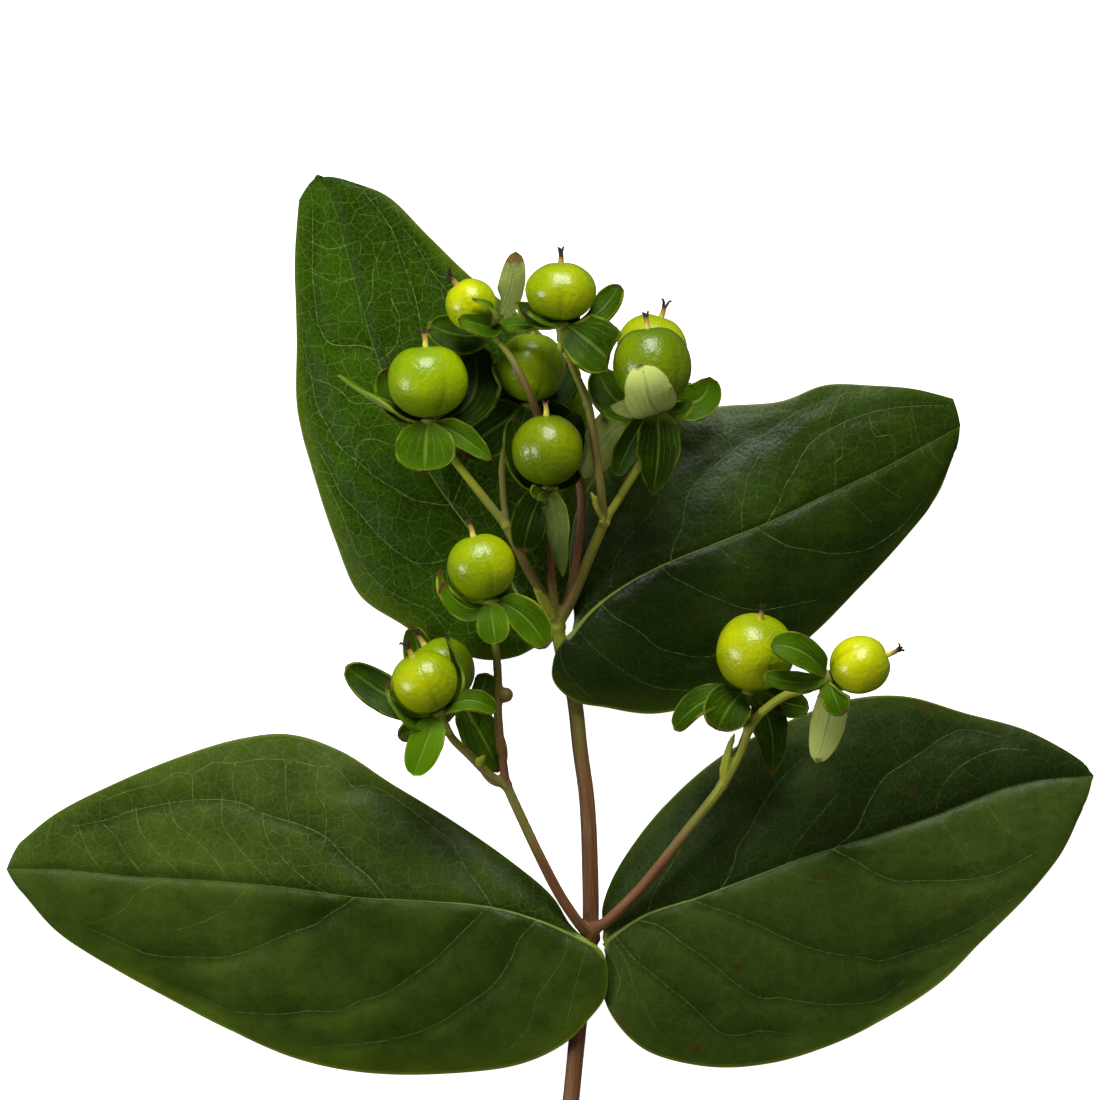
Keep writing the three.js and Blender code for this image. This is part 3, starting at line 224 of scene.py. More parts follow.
# ---------------------------------------------------------------- berries and their sepals
# middle, way it points, radius, half its height, turn of its seams in degrees, its skin in the settings,
# and its sepals: a point each bends past, its tip, its width, the way its inner face looks, blunt or not
BERRIES = [
    ((-18.2, 58.9, 20), (-0.05, 1, 0.05), 6.1, 5.4, 300, "green", [
        ((-18.5, 49.5, 22.3), (-18.5, 45.5, 21.5), 9, (0, 0.15, 1), True),
        ((-12.5, 51, 20.6), (-8.5, 47, 20), 3.9, (0.2, 0, 1), False),
        ((-25, 55, 17.5), (-31.5, 60, 16.8), 4.5, (0.6, 0.8, 0.15), False),
        ((-9, 54.5, 15), (-11.5, 64, 14), 8.5, (-0.3, 0.2, 1), True),
        ((-23.5, 55, 13.5), (-24, 61, 13), 6, (0.3, 0, 1), True)]),
    ((1.6, 72.1, 27), (0, 1, 0.05), 5.3, 4.4, 270, "yellow", [
        ((7.4, 67.5, 25), (10.2, 73, 24.5), 4.5, (-0.3, 0.3, 1), True),
        ((6, 65, 29.5), (9.5, 61, 28), 8.2, (0.1, 0.1, 1), True),
        ((-0.5, 67.5, 29.5), (-3.5, 69, 29), 2.6, (0, 0.9, 0.5), False),
        ((-2, 68, 23.5), (-5, 70.5, 23), 3.6, (0.2, 0.2, 1), False),
        ((2, 66.5, 22.5), (2.5, 71, 20.5), 4.5, (0, 0.2, 1), True)]),
    ((-10.2, 31.5, 24), (-0.25, 0.97, 0.05), 5.15, 4.9, 300, "yellow", [
        ((-16, 24, 25), (-16, 31, 25), 3.4, (0.8, 0.2, 0.6), True),
        ((-12, 23.5, 25.5), (-16, 29, 26.5), 4.4, (0.2, 0.3, 0.9), True),
        ((-8.5, 23.5, 26.4), (-8, 20, 25.4), 4.8, (0, 0, 1), True),
        ((-3.5, 25.5, 24.5), (-0.5, 19.5, 22.5), 5.2, (0.1, 0.1, 1), True),
        ((-7.5, 26.5, 19), (-8, 31, 17.5), 4.5, (0, 0.3, 1), True)]),
    ((-18.6, 14.4, 23), (-0.42, 0.9, 0.25), 5.05, 4.6, 300, "yellow", [
        ((-23.2, 10.8, 17.5), (-30.2, 16.7, 16.5), 5.5, (0, 0, 1), True),
        ((-22.5, 6.5, 25), (-24, 14.5, 25), 3.8, (0.8, 0.4, 0.3), False),
        ((-18, 6.5, 25.5), (-20.2, 0.6, 23.5), 5.2, (0, 0, 1), True),
        ((-12, 13.5, 25.5), (-8, 10, 22), 3.5, (-0.1, 0.4, 0.9), True),
        ((-11.5, 13, 21), (-15.5, 21.5, 20.5), 3.5, (-0.9, -0.2, 0.3), False)]),
    ((-16.2, 15.9, 11.5), (-0.55, 0.83, 0), 5.3, 4.9, 280, "green", [
        ((-18.6, 13, 4.8), (-20.6, 22.6, 6.5), 5.4, (0, 0, 1), True),
        ((-10, 11.5, 9), (-9.5, 15.5, 8.5), 5, (0, 0, 1), True),
        ((-10.8, 7.8, 13.2), (-7.5, 0.9, 12.8), 6, (0, 0, 1), True),
        ((-18, 8, 8), (-22.6, 6, 7.5), 3.6, (0, 0.2, 1), True),
        ((-14, 13, 5.2), (-15, 15.5, 4.9), 4, (0, 0, 1), True)]),
    ((30.3, 18.8, 20), (0.15, 0.9, 0.35), 5.95, 5.7, 290, "yellow", [
        ((22, 12.8, 19), (18.4, 7.3, 17), 5.6, (-0.1, 0.75, 0.65), True),
        ((26.5, 11.8, 21.5), (24.8, 7.3, 19.8), 7, (0, 0.1, 1), True),
        ((34, 8.5, 14), (33, 0, 12), 5.6, (0, 0, 1), False),
        ((35, 11, 14.5), (38.5, 10.5, 13.5), 4.2, (0, 0.2, 1), True),
        ((28.5, 14, 12.5), (29.5, 18.5, 12), 5, (0, 0.2, 1), True)]),
    ((45.8, 16.9, 24), (0.93, 0.36, 0.05), 4.4, 4.5, 40, "gold", [
        ((38, 20, 30.5), (32.5, 20, 28.8), 4.7, (0, 0.2, 1), True),
        ((37, 13.5, 27), (31.5, 15.5, 27), 3.4, (0, 0.5, 0.9), True),
        ((41.5, 13.5, 27), (43, 9.5, 25), 4.2, (0.1, 0.1, 1), True),
        ((42.5, 11.5, 21.5), (39.5, 2.5, 19.5), 5, (0, 0, -1), True),
        ((43.5, 14.5, 19), (46.5, 16.5, 18.5), 4, (0, 0, 1), True)]),
    ((15, 61, 27), (-0.12, 1, 0.05), 5.85, 5.9, 320, "mid", [
        ((14.5, 55.5, 35.5), (13.5, 61, 34.3), 7.5, (0, 0.1, -1), True),
        ((16.5, 48.5, 29.5), (15, 42, 27), 6.8, (0.1, 0, 1), False),
        ((19, 53.5, 26), (21, 56, 24), 3.4, (-0.3, 0.3, 0.9), False),
        ((9.5, 53.8, 22.5), (7, 60.6, 20), 6, (0.1, 0, 1), True),
        ((9.4, 54.3, 22), (5, 44.6, 19.2), 6.2, (0.2, 0.2, -1), True),
        ((12, 51, 25), (9.8, 44.8, 22.6), 3.8, (0, 0, 1), True)]),
    ((15.1, 64, 15), (0.3, 0.95, 0), 5.3, 5, 270, "yellow", [
        ((23, 52.8, 12.5), (23.8, 59.6, 13.5), 5.8, (0, 0, 1), True),
        ((9, 56, 12), (9, 60.5, 11), 5, (0.2, 0, 1), True),
        ((18.5, 60.5, 9.5), (17, 65, 9), 4.8, (0, 0, 1), True),
        ((12, 60.5, 9.5), (12.5, 65, 9), 4.8, (0, 0, 1), True),
        ((14, 56, 11.5), (15.5, 52.5, 10), 4.4, (0, 0, 1), True)]),
    ((-11.7, 70.3, 19), (-0.6, 0.8, 0.05), 3.85, 3.9, 300, "gold", [
        ((-7.5, 66.5, 23), (-13.5, 68, 23.5), 3.8, (-0.1, 0.3, 1), True),
        ((-5.5, 71, 20), (-5, 78, 20), 3.9, (0, 0, -1), True),
        ((-6.5, 69.5, 24), (-11.5, 71, 24.5), 2.5, (0, 0.8, 0.6), False),
        ((-3.5, 67.5, 22), (1.5, 67, 21.5), 3, (-0.2, 0.7, 0.7), False),
        ((-12, 64.5, 14), (-18, 67.5, 13.5), 5.6, (0, 0, 1), True)]),
    ((-2.8, 61.1, 14.4), (0.05, 1, 0.05), 5.2, 5.2, 290, "green", [
        ((-7.5, 52.5, 11), (-13.5, 48.5, 10.2), 7.5, (0, 0, 1), True),
        ((1.5, 54.5, 12), (4, 49, 11.5), 4.8, (0, 0, 1), True),
        ((-6.5, 57, 10), (-8, 62, 9.3), 5.5, (0, 0, 1), True),
        ((1.5, 57, 9.5), (3, 62, 9), 5.5, (0, 0, 1), True),
        ((-4, 53.5, 16.2), (-4.5, 51.5, 15.6), 3.2, (0, 0.2, 1), True)]),
    ((-0.3, 48.8, 22), (-0.05, 1, 0.1), 5.4, 5.3, 245, "dark", [
        ((-3, 40, 22.8), (-4, 33.5, 20.5), 5.4, (0, 0, 1), True),
        ((-1.5, 42.5, 24.6), (-2, 41.5, 24.4), 3.2, (0, 0, 1), True),
        ((1, 37.5, 24), (2, 30, 22), 4.2, (0.5, 0, -0.85), False),
        ((4.2, 44.5, 14.6), (3.5, 54.5, 15.8), 4.6, (-0.3, 0, 1), True),
        ((-5, 44.5, 18), (-5.5, 53.5, 17.5), 4.4, (0.3, 0, 1), True)]),
]
# how bright each sepal is, from deep to pale, in the order of the table above: partly its own green, such as
# a pale outer face, and partly painted shade on the sepals deep in the cluster
SEPAL_TONES_AND_SHADE = [
    (0.44, 0.44, 0.50, 0.0, 0.20), (0.32, 0.24, 0.45, 0.20, 0.15), (0.90, 0.45, 0.50, 0.48, 0.10),
    (0.16, 0.45, 0.84, 0.44, 0.50), (0.28, 0.20, 0.22, 0.15, 0.10), (0.20, 0.22, 0.20, 0.22, 0.15),
    (0.46, 0.28, 0.42, 1.0, 0.20), (0.95, 0.04, 0.30, 0.34, 0.45, 0.10), (0.42, 0.30, 0.20, 0.20, 0.15),
    (0.42, 0.36, 0.50, 0.35, 0.25), (0.02, 0.06, 0.06, 0.08, 0.10), (-0.05, 0.22, 0.08, 0.02, 0.04),
]
# how narrow each berry is round its styles: under 1 is broad shouldered, over 1 is domed
SHOULDERS = [0.86, 1.16, 1.04, 0.98, 1.0, 0.94, 1.0, 0.86, 1.0, 1.06, 1.0, 1.12]
# sepals by berry and place in its row: those with a wider dry tip than most, and the one with a broad root
DRY_SEPALS = {(10, 1): 1.9, (3, 0): 1.5, (3, 1): 1.3, (4, 1): 1.2, (4, 4): 1.3, (2, 2): 1.2}
BROAD_SEPALS = {(8, 0)}
CUP_GAP = 0.3
CUP_RADIUS = 1.3
CUP_DEPTH = 0.7
NECK_LENGTH = 1.8
NECK_RADIUS = 0.62
ROOT_SINK = 0.6
STYLE_STALK = 0.9
STYLE_LENGTH = 1.1
# each berry's style: length of its hairs as a share, how far they stand apart, how much they curl,
# how brown it is
STYLE_ENDS = [
    (1.0, 0.75, 0.9, -0.08), (0.8, 0.30, 0.0, 0.26), (0.9, 0.22, 0.3, 0.0), (1.0, 0.55, 0.7, 0.10),
    (0.9, 0.35, 0.3, 0.06), (0.6, 0.22, 0.4, 0.12), (1.0, 0.50, 0.8, 0.0), (0.9, 0.32, 0.1, 0.02),
    (1.1, 0.45, 0.5, 0.08), (1.0, 0.60, 0.9, 0.22), (0.8, 0.30, 0.0, 0.22), (0.6, 0.25, 0.2, -0.06),
]

# ---------------------------------------------------------------- twigs
# Radius of the thick end and of the thin end, redness, route, and the place of its berry in the table.
# Redness is spread evenly along the route, from under 0 on fresh bark to over 1 on old bark
LOWER_NODE = (6, -24, 4.2)
UPPER_NODE = (1, 22.5, 9.7)
LEFT_FORK = (-6.5, -1, 13.4)
RIGHT_FORK = (29.5, 7.5, 17.2)
TOP_RIGHT_FORK = (8, 38, 18)
TOP_LEFT_FORK = (-6.5, 37.5, 15.2)
TWIGS = [
    (1.35, 1.1, (1.5, 1.5, 1.4, 1.0, 0.1, -0.5), [
        (-1.5, -90, 1.35), (1, -69.5, 1.6), (3, -50, 2.2), (4.5, -35, 3), LOWER_NODE, (6, -14, 5.6),
        (5.5, -3.5, 7), (4.5, 4, 7.8), (3.5, 12.5, 8.6), (2, 18, 9.2), UPPER_NODE], None),
    (0.85, 0.75, (1.3, 1.0, 0.2), [
        LOWER_NODE, (4, -21.4, 7.1), (1.5, -17.6, 9), (-1.6, -11.6, 11.2), (-4.7, -5, 12.6),
        LEFT_FORK], None),
    (0.7, 0.6, (0.9, 0.3, -0.4), [
        LEFT_FORK, (-7.2, 4, 15), (-7.7, 9.5, 16.8), (-7.7, 14.5, 18.4), (-8, 19, 19.8),
        (-8.5, 22.5, 21.2)], 2),
    (0.7, 0.6, (0.3, 0.1), [
        LEFT_FORK, (-9, 0.5, 14.4), (-12, 3.5, 15.8), (-14.5, 6, 17.4), (-15.5, 8, 19.4)], 3),
    (0.6, 0.55, (0.3, 0.2), [
        LEFT_FORK, (-8.5, -0.5, 12.2), (-10.5, 2, 10.4), (-12, 6, 9.2), (-12.8, 8.5, 9)], 4),
    (0.9, 0.75, (1.7, 1.1, 0.2, -0.3), [
        LOWER_NODE, (7, -22.5, 6.4), (8.5, -21.5, 8), (13.5, -16.5, 10.6), (19.5, -9, 12.8), (25.6, -1, 15),
        (28, 3.5, 16.4), RIGHT_FORK], None),
    (0.7, 0.65, (-0.3, -0.5), [
        RIGHT_FORK, (31.5, 10, 19.8), (35, 12.5, 21.8), (38.5, 13.5, 22.8)], 6),
    (0.65, 0.6, (0.1, 0.1), [
        RIGHT_FORK, (29.5, 10, 17.2)], 5),
    (0.9, 0.8, (-0.4, 0.6, 0.35, 0.0), [
        UPPER_NODE, (3, 26, 12.4), (5.5, 32, 15.2), TOP_RIGHT_FORK], None),
    (0.65, 0.6, (0.35, 0.3, -0.1, -0.5), [
        TOP_RIGHT_FORK, (7.5, 43.5, 21), (6.5, 50, 23), (5.5, 55.5, 24.2), (3.5, 60.5, 25.2),
        (2, 64, 25.8)], 1),
    (0.65, 0.6, (-0.2, -0.2), [
        TOP_RIGHT_FORK, (10.5, 42, 18.8), (13, 46, 19.8), (14.8, 49, 22), (15.8, 50.4, 24.2)], 7),
    (0.55, 0.55, (0.3, 0.3), [
        (10.5, 42, 18.8), (12.5, 46.5, 16), (13.5, 51.5, 13.8), (13, 55.5, 14.2)], 8),
    (0.85, 0.72, (-0.4, 0.7, 0.5, 0.1), [
        UPPER_NODE, (0, 25.5, 12), (-3, 30.5, 13.6), TOP_LEFT_FORK], None),
    (0.68, 0.6, (0.0, -0.35, -0.5), [
        TOP_LEFT_FORK, (-10.5, 42.5, 16.6), (-14, 47, 17.8), (-16.5, 50.5, 18.8)], 0),
    (0.58, 0.55, (0.3, 0.2), [
        TOP_LEFT_FORK, (-7, 42.5, 13.8), (-7, 47.5, 12.8), (-5.5, 51.5, 12.8)], 10),
    (0.7, 0.6, (-0.3, 0.8, 0.5, 0.2), [
        UPPER_NODE, (0.5, 27, 13), (0, 33.5, 16.8), (0, 38.5, 19.8)], 11),
    (0.7, 0.55, (-0.2, 1.2, 1.2, 0.8, 0.3, -0.6), [
        UPPER_NODE, (3, 28, 11.6), (4.5, 37, 12.6), (4.5, 43.5, 13), (2.5, 49, 13.6), (-0.5, 52, 15.5),
        (-2, 54.5, 18.6), (-3.4, 58, 20.3), (-5.2, 61.4, 20.2)], 9),
]
# middle and radius of each thickening
SWELLINGS = [
    (LOWER_NODE, 1.6), (UPPER_NODE, 1.45), (LEFT_FORK, 0.95), (RIGHT_FORK, 0.95), ((-6.6, 12.4, 17.6), 1.15),
    (TOP_RIGHT_FORK, 0.98), (TOP_LEFT_FORK, 0.88), ((25.6, -1, 15), 0.92), ((5.5, 55.5, 24.2), 0.78),
]
# root, bend, tip, width and the way its inner face looks
BRACTS = [
    ((0.4, 23.6, 10.6), (-0.6, 25.6, 13.6), (-2.4, 28.4, 15), 1.8, (0.5, 0.3, 1)),
    ((8, 38, 18.4), (7, 40.5, 19.4), (6, 42.6, 20), 1.3, (0, 0.2, 1)),
    ((25.5, -0.8, 15.4), (25.8, 3.2, 17), (27.4, 6.9, 18.1), 1.4, (-0.4, 0.2, 1)),
    ((-10.6, 2.2, 15.4), (-10.2, 2.8, 16.3), (-9.7, 3.4, 16.7), 1.1, (0, 0, 1)),
]
BRACT_REDNESS = -0.5


# ---------------------------------------------------------------- user settings
def colour(name, description, rgb):
    return bpy.props.FloatVectorProperty(name=name, description=description, subtype="COLOR", size=3,
                                         min=0, max=1, default=rgb)


def length(name, description, metres):
    return bpy.props.FloatProperty(name=name, description=description, subtype="DISTANCE", unit="LENGTH",
                                   default=metres, precision=5)


class LeafSettings(bpy.types.PropertyGroup):
    thickness: length("Thickness", "Thickness of a blade at its midrib", 0.0007)
    rib_groove: length("Midrib groove", "Depth of the groove over the midrib", 0.0003)
    rib_width: length("Midrib width", "Width of the midrib at the base of a blade", 0.00085)
    rib_keel: length("Keel", "How far the midrib stands out below the blade", 0.0006)
    quilting: length("Quilting", "Rise of the blade between its side veins", 0.00055)
    netted: colour("Netted leaf", "Green of the upper leaf with the pale net", (0.020, 0.060, 0.0004))
    dark: colour("Dark leaf", "Green of the dark glossy upper leaf", (0.019, 0.048, 0.0007))
    mid: colour("Mid leaf", "Green of the lower left leaf", (0.033, 0.070, 0.0055))
    shade: colour("Shaded leaf", "Green of the lower right leaf", (0.026, 0.056, 0.0065))
    underside: colour("Underside", "Paler green of every leaf's lower face", (0.13, 0.21, 0.07))
    vein: colour("Veins", "Pale green of the veins", (0.25, 0.37, 0.07))


class BerrySettings(bpy.types.PropertyGroup):
    seam_depth: bpy.props.FloatProperty(name="Seam depth", default=0.115, min=0, max=0.2, description="Depth "
                                        "of the three seams near the calyx, as a share of the berry's radius")
    green: colour("Green berry", "Skin of the green berries", (0.395, 0.54, 0.0004))
    yellow: colour("Yellow berry", "Skin of the yellower berries", (0.52, 0.60, 0.0006))
    gold: colour("Gold berry", "Skin of the small golden berries", (0.71, 0.75, 0.0008))
    mid: colour("Mid berry", "Skin of the berries in between", (0.215, 0.31, 0.0004))
    dark: colour("Dark berry", "Skin of the darkest berry", (0.25, 0.325, 0.0004))


class SepalSettings(bpy.types.PropertyGroup):
    thickness: length("Thickness", "Thickness of a sepal", 0.00042)
    clearance: length("Clearance", "Distance from a berry's skin to the middle of a sepal", 0.00085)
    # the deep greens also carry the painted shade of the sepals deep in the cluster
    deep: colour("Deep green", "Inner face of the darkest sepals", (0.010, 0.028, 0.0006))
    bright: colour("Bright green", "Inner face of the brightest sepals", (0.118, 0.268, 0.002))
    back_deep: colour("Deep outer face", "Outer face of the darkest sepals", (0.055, 0.09, 0.012))
    back_pale: colour("Pale outer face", "Outer face of the palest sepals", (0.60, 0.70, 0.18))
    rim: colour("Rim", "Yellowish rim", (0.34, 0.38, 0.03))
    scorch: colour("Dry spots", "Brown of the dry spots and tips", (0.16, 0.06, 0.02))


class TwigSettings(bpy.types.PropertyGroup):
    voxel: length("Mesh size", "Size of the faces of the twigs", 0.00024)
    fresh: colour("Fresh bark", "Yellow green of the youngest stalks", (0.47, 0.52, 0.03))
    olive: colour("Young bark", "Olive green of the young twigs", (0.22, 0.22, 0.03))
    russet: colour("Old bark", "Red brown of the older twigs", (0.20, 0.068, 0.026))


class StudioSettings(bpy.types.PropertyGroup):
    camera_height: length("Camera height", "Height of the camera above the surface", 1.5)
    view_width: length("View width", "Width of the view on the surface", 0.165)
    view_middle: length("View middle", "Distance from the part's middle to the view's, along Y", 0.0339)
    floor_glow: bpy.props.FloatProperty(name="Floor glow", description="Light that the table gives off",
                                        default=1.0, min=0, max=2)
    floor_shade: bpy.props.FloatProperty(name="Floor shade", description="How pale the floor is",
                                         default=0.93, min=0, max=1)


# ---------------------------------------------------------------- shared shapes
NUDGE = 0.01  # share of a curve's length over which its direction is read
LEVEL_DIGITS = 4  # decimals that tell the rings of a ball apart
# edges sharper than this, in degrees, are shaded as edges
SHEET_CREASE = 60
ROUND_CREASE = 80


def mm(point):
    return Vector(point) * MM


def through(points):
    """A curve through points: centripetal Catmull-Rom, read by its share t from 0 to 1."""
    pts = [Vector(p) for p in points]

    def at(t):
        place = min(max(t, 0), 1) * (len(pts) - 1)
        i = min(int(place), len(pts) - 2)
        w = place - i
        b, c = pts[i], pts[i + 1]
        a = pts[i - 1] if i > 0 else b * 2 - c
        d = pts[i + 2] if i + 2 < len(pts) else c * 2 - b
        k0, k1, k2 = ((q - p).length ** 0.5 or 1 for p, q in ((a, b), (b, c), (c, d)))
        m1 = ((b - a) / k0 - (c - a) / (k0 + k1) + (c - b) / k1) * k1
        m2 = ((c - b) / k1 - (d - b) / (k1 + k2) + (d - c) / k2) * k1
        return b + m1 * w + (c * 3 - b * 3 - m1 * 2 - m2) * w ** 2 + (b * 2 - c * 2 + m1 + m2) * w ** 3

    return at


def heading(curve, t, nudge=NUDGE):
    """The way a curve runs at share t of its length."""
    return (curve(min(t + nudge, 1)) - curve(max(t - nudge, 0))).normalized()


def bezier(a, b, c, t):
    return a * (1 - t) ** 2 + b * (2 * t * (1 - t)) + c * t ** 2


def bezier_way(a, b, c, t):
    return ((b - a) * (1 - t) + (c - b) * t).normalized()


def smooth_step(low, high, value):
    x = min(max((value - low) / (high - low), 0), 1)
    return x * x * (3 - 2 * x)


def around(angle, radius, height):
    return Vector((math.cos(angle) * radius, math.sin(angle) * radius, height))


def search_tree(points):
    tree = kdtree.KDTree(len(points))
    for i, point in enumerate(points):
        tree.insert(point, i)
    tree.balance()
    return tree


def deselect():
    bpy.ops.object.select_all(action="DESELECT")


def make_active(piece):
    deselect()
    piece.select_set(True)
    bpy.context.view_layer.objects.active = piece


def added(name):
    piece = bpy.context.active_object
    piece.name = name
    piece.data.name = name
    return piece


def grid(name, across, along):
    """A flat grid whose x runs from -1 to 1 across the blade and whose y runs from root to tip."""
    deselect()
    bpy.ops.mesh.primitive_grid_add(x_subdivisions=across, y_subdivisions=along, size=2, calc_uvs=True)
    return added(name)


def ball(name, segments, rings, radius=1, middle=(0, 0, 0)):
    deselect()
    bpy.ops.mesh.primitive_uv_sphere_add(segments=segments, ring_count=rings, radius=radius, location=middle)
    return added(name)


def levels_of(piece):
    """Heights of a ball's rings, from its lowest point to its highest."""
    return sorted({round(vertex.co.z, LEVEL_DIGITS) for vertex in piece.data.vertices})


def shape(piece, place):
    """Moves every point of the piece to place(its own point)."""
    for vertex in piece.data.vertices:
        vertex.co = place(vertex.co.copy())
    piece.data.update()


def wall(piece, thickness):
    """Gives a sheet its thickness, half of it on each side."""
    modifier = piece.modifiers.new("Wall", "SOLIDIFY")
    modifier.thickness = thickness
    modifier.offset = 0
    return modifier


def apply_modifiers(piece):
    make_active(piece)
    for modifier in list(piece.modifiers):
        bpy.ops.object.modifier_apply(modifier=modifier.name)


def smooth(piece, angle):
    make_active(piece)
    bpy.ops.object.shade_smooth_by_angle(angle=math.radians(angle))


def join(pieces, name):
    make_active(pieces[0])
    for piece in pieces:
        piece.select_set(True)
    if len(pieces) > 1:
        bpy.ops.object.join()
    return added(name)


def store(piece, name, values, kind="FLOAT"):
    layer = piece.data.attributes.new(name, kind, "POINT")
    layer.data.foreach_set("vector" if kind == "FLOAT_VECTOR" else "value", values)


def finish_piece(piece, slot, *nodes):
    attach(piece, "root")
    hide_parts(*nodes)


# ---------------------------------------------------------------- material nodes
def tinted(rgb, *shares):
    """A colour made darker or brighter: one share for all three values, or one for each."""
    if len(shares) == 1:
        shares = shares * 3
    return [value * share for value, share in zip(rgb, shares)]


class Nodes:
    """Builds one material's nodes, left to right. Sizes are in metres."""

    def __init__(self, name):
        old = bpy.data.materials.get(name)
        if old:
            bpy.data.materials.remove(old)
        self.material = bpy.data.materials.new(name)
        self.material.use_nodes = True
        self.tree = self.material.node_tree
        self.skin = self.tree.nodes["Principled BSDF"]

    def link(self, value, socket):
        if isinstance(value, bpy.types.NodeSocket):
            self.tree.links.new(value, socket)
        elif hasattr(value, "__len__"):
            socket.default_value = tuple(value)[:3] + (1,) if len(socket.default_value) == 4 else tuple(value)
        else:
            socket.default_value = value

    def node(self, kind, inputs=None, output=0, **settings):
        node = self.tree.nodes.new(kind)
        for key, value in settings.items():
            setattr(node, key, value)
        for key, value in (inputs or {}).items():
            self.link(value, node.inputs[key])
        return node.outputs[output]

    def math(self, operation, a, b=0.0):
        return self.node("ShaderNodeMath", {0: a, 1: b}, operation=operation)

    def plus(self, a, b):
        return self.math("ADD", a, b)

    def minus(self, a, b):
        return self.math("SUBTRACT", a, b)

    def times(self, a, b):
        return self.math("MULTIPLY", a, b)

    def larger(self, a, b):
        return self.math("MAXIMUM", a, b)

    def swing(self, value, reach):
        """Centres a value that runs from 0 to 1 on 0, and gives it a reach."""
        return self.times(self.minus(value, 0.5), reach)

    def ramp(self, value, low, high, start=0.0, end=1.0):
        """Runs softly from start to end while the value runs from low to high."""
        return self.node("ShaderNodeMapRange", {"Value": value, "From Min": low, "From Max": high,
                                                "To Min": start, "To Max": end},
                         interpolation_type="SMOOTHSTEP")

    def mix(self, share, a, b):
        return self.node("ShaderNodeMix", {0: share, 6: a, 7: b}, output=2, data_type="RGBA")

    def attribute(self, name, output="Fac"):
        return self.node("ShaderNodeAttribute", output=output, attribute_name=name)

    def place(self):
        return self.node("ShaderNodeTexCoord", output="Object")

    def uv(self):
        split = self.tree.nodes.new("ShaderNodeSeparateXYZ")
        self.link(self.node("ShaderNodeTexCoord", output="UV"), split.inputs[0])
        return split.outputs[0], split.outputs[1]

    def noise(self, where, size, detail=3, rough=0.5, output="Fac"):
        return self.node("ShaderNodeTexNoise", {"Vector": where, "Scale": 1 / size, "Detail": detail,
                                                "Roughness": rough}, output=output)

    def dots(self, where, size):
        """Distance to the nearest of many scattered dots."""
        return self.node("ShaderNodeTexVoronoi", {"Vector": where, "Scale": 1 / size}, output="Distance",
                         feature="F1")

    def web(self, where, size):
        """Distance to the nearest line of a net, the same at every height."""
        return self.node("ShaderNodeTexVoronoi", {"Vector": where, "Scale": 1 / size}, output="Distance",
                         feature="DISTANCE_TO_EDGE", voronoi_dimensions="2D")

    def wobble(self, where, size, reach):
        """Shifts coordinates by a soft noise, so that cells and lines don't look ruled."""
        drift = self.node("ShaderNodeVectorMath", {0: self.noise(where, size, output="Color"),
                                                   1: (0.5, 0.5, 0.5)}, operation="SUBTRACT")
        scaled = self.node("ShaderNodeVectorMath", {0: drift, "Scale": reach}, operation="SCALE")
        return self.node("ShaderNodeVectorMath", {0: where, 1: scaled}, operation="ADD")

    def bump(self, height, distance, strength):
        return self.node("ShaderNodeBump", {"Height": height, "Distance": distance, "Strength": strength},
                         output="Normal")

    def set(self, **sockets):
        for key, value in sockets.items():
            self.link(value, self.skin.inputs[key.replace("_", " ")])


# ---------------------------------------------------------------- leaf pieces, in millimetres
LEAF_ACROSS = 132
LEAF_ALONG = 190
RIB_REACH = 1.5  # nearer than this the distance is measured square to the midrib
RIB_CROWDING = 1.35  # how much closer the rows of points stand near the midrib
FOLD_WIDTH = 3.5
QUILT_WIDTH = 1.9
QUILT_MIDDLE = 0.55
RIB_VALLEY = 1.6  # how much narrower the valley is at the midrib than at the side veins
GROOVE_WIDTH = 0.55
GROOVE_FADE = 0.6  # share of the groove that is gone at the tip
DENT_HEIGHT = 0.10
DENT_FINENESS = 0.55
LEAF_CLEARANCE = 0.02
KEEL_WIDTH = 0.8
KEEL_LOWEST = 0.03
HALF_BLEND = 1.2  # distance from the midrib over which one half's painted light and shade, and its net, become the other's
TIP_START = 0.45  # share of the length before which painted shade darkens a blade towards its base, and after which painted light brightens it to its tip
MARGIN_THINNING = 0.85
MARGIN_THICKNESS = 0.35
VEIN_STEPS = 10
VEIN_TAPER = 0.55


class VeinMap:
    """Finds the nearest side vein of a leaf: how far it is, on which side, and how wide."""

    def __init__(self, veins):
        self.spots = []
        for width, route in veins:
            curve = through([(x, y, 0) for x, y in route])
            steps = len(route) * VEIN_STEPS
            for i in range(steps + 1):
                t = i / steps
                self.spots.append((curve(t), heading(curve, t), width * (1 - VEIN_TAPER * t)))
        self.tree = search_tree([spot[0] for spot in self.spots])

    def nearest(self, point):
        flat = Vector((point.x, point.y, 0))
        _, index, distance = self.tree.find(flat)
        spot, way, width = self.spots[index]
        return way.cross(flat - spot).z, distance, width


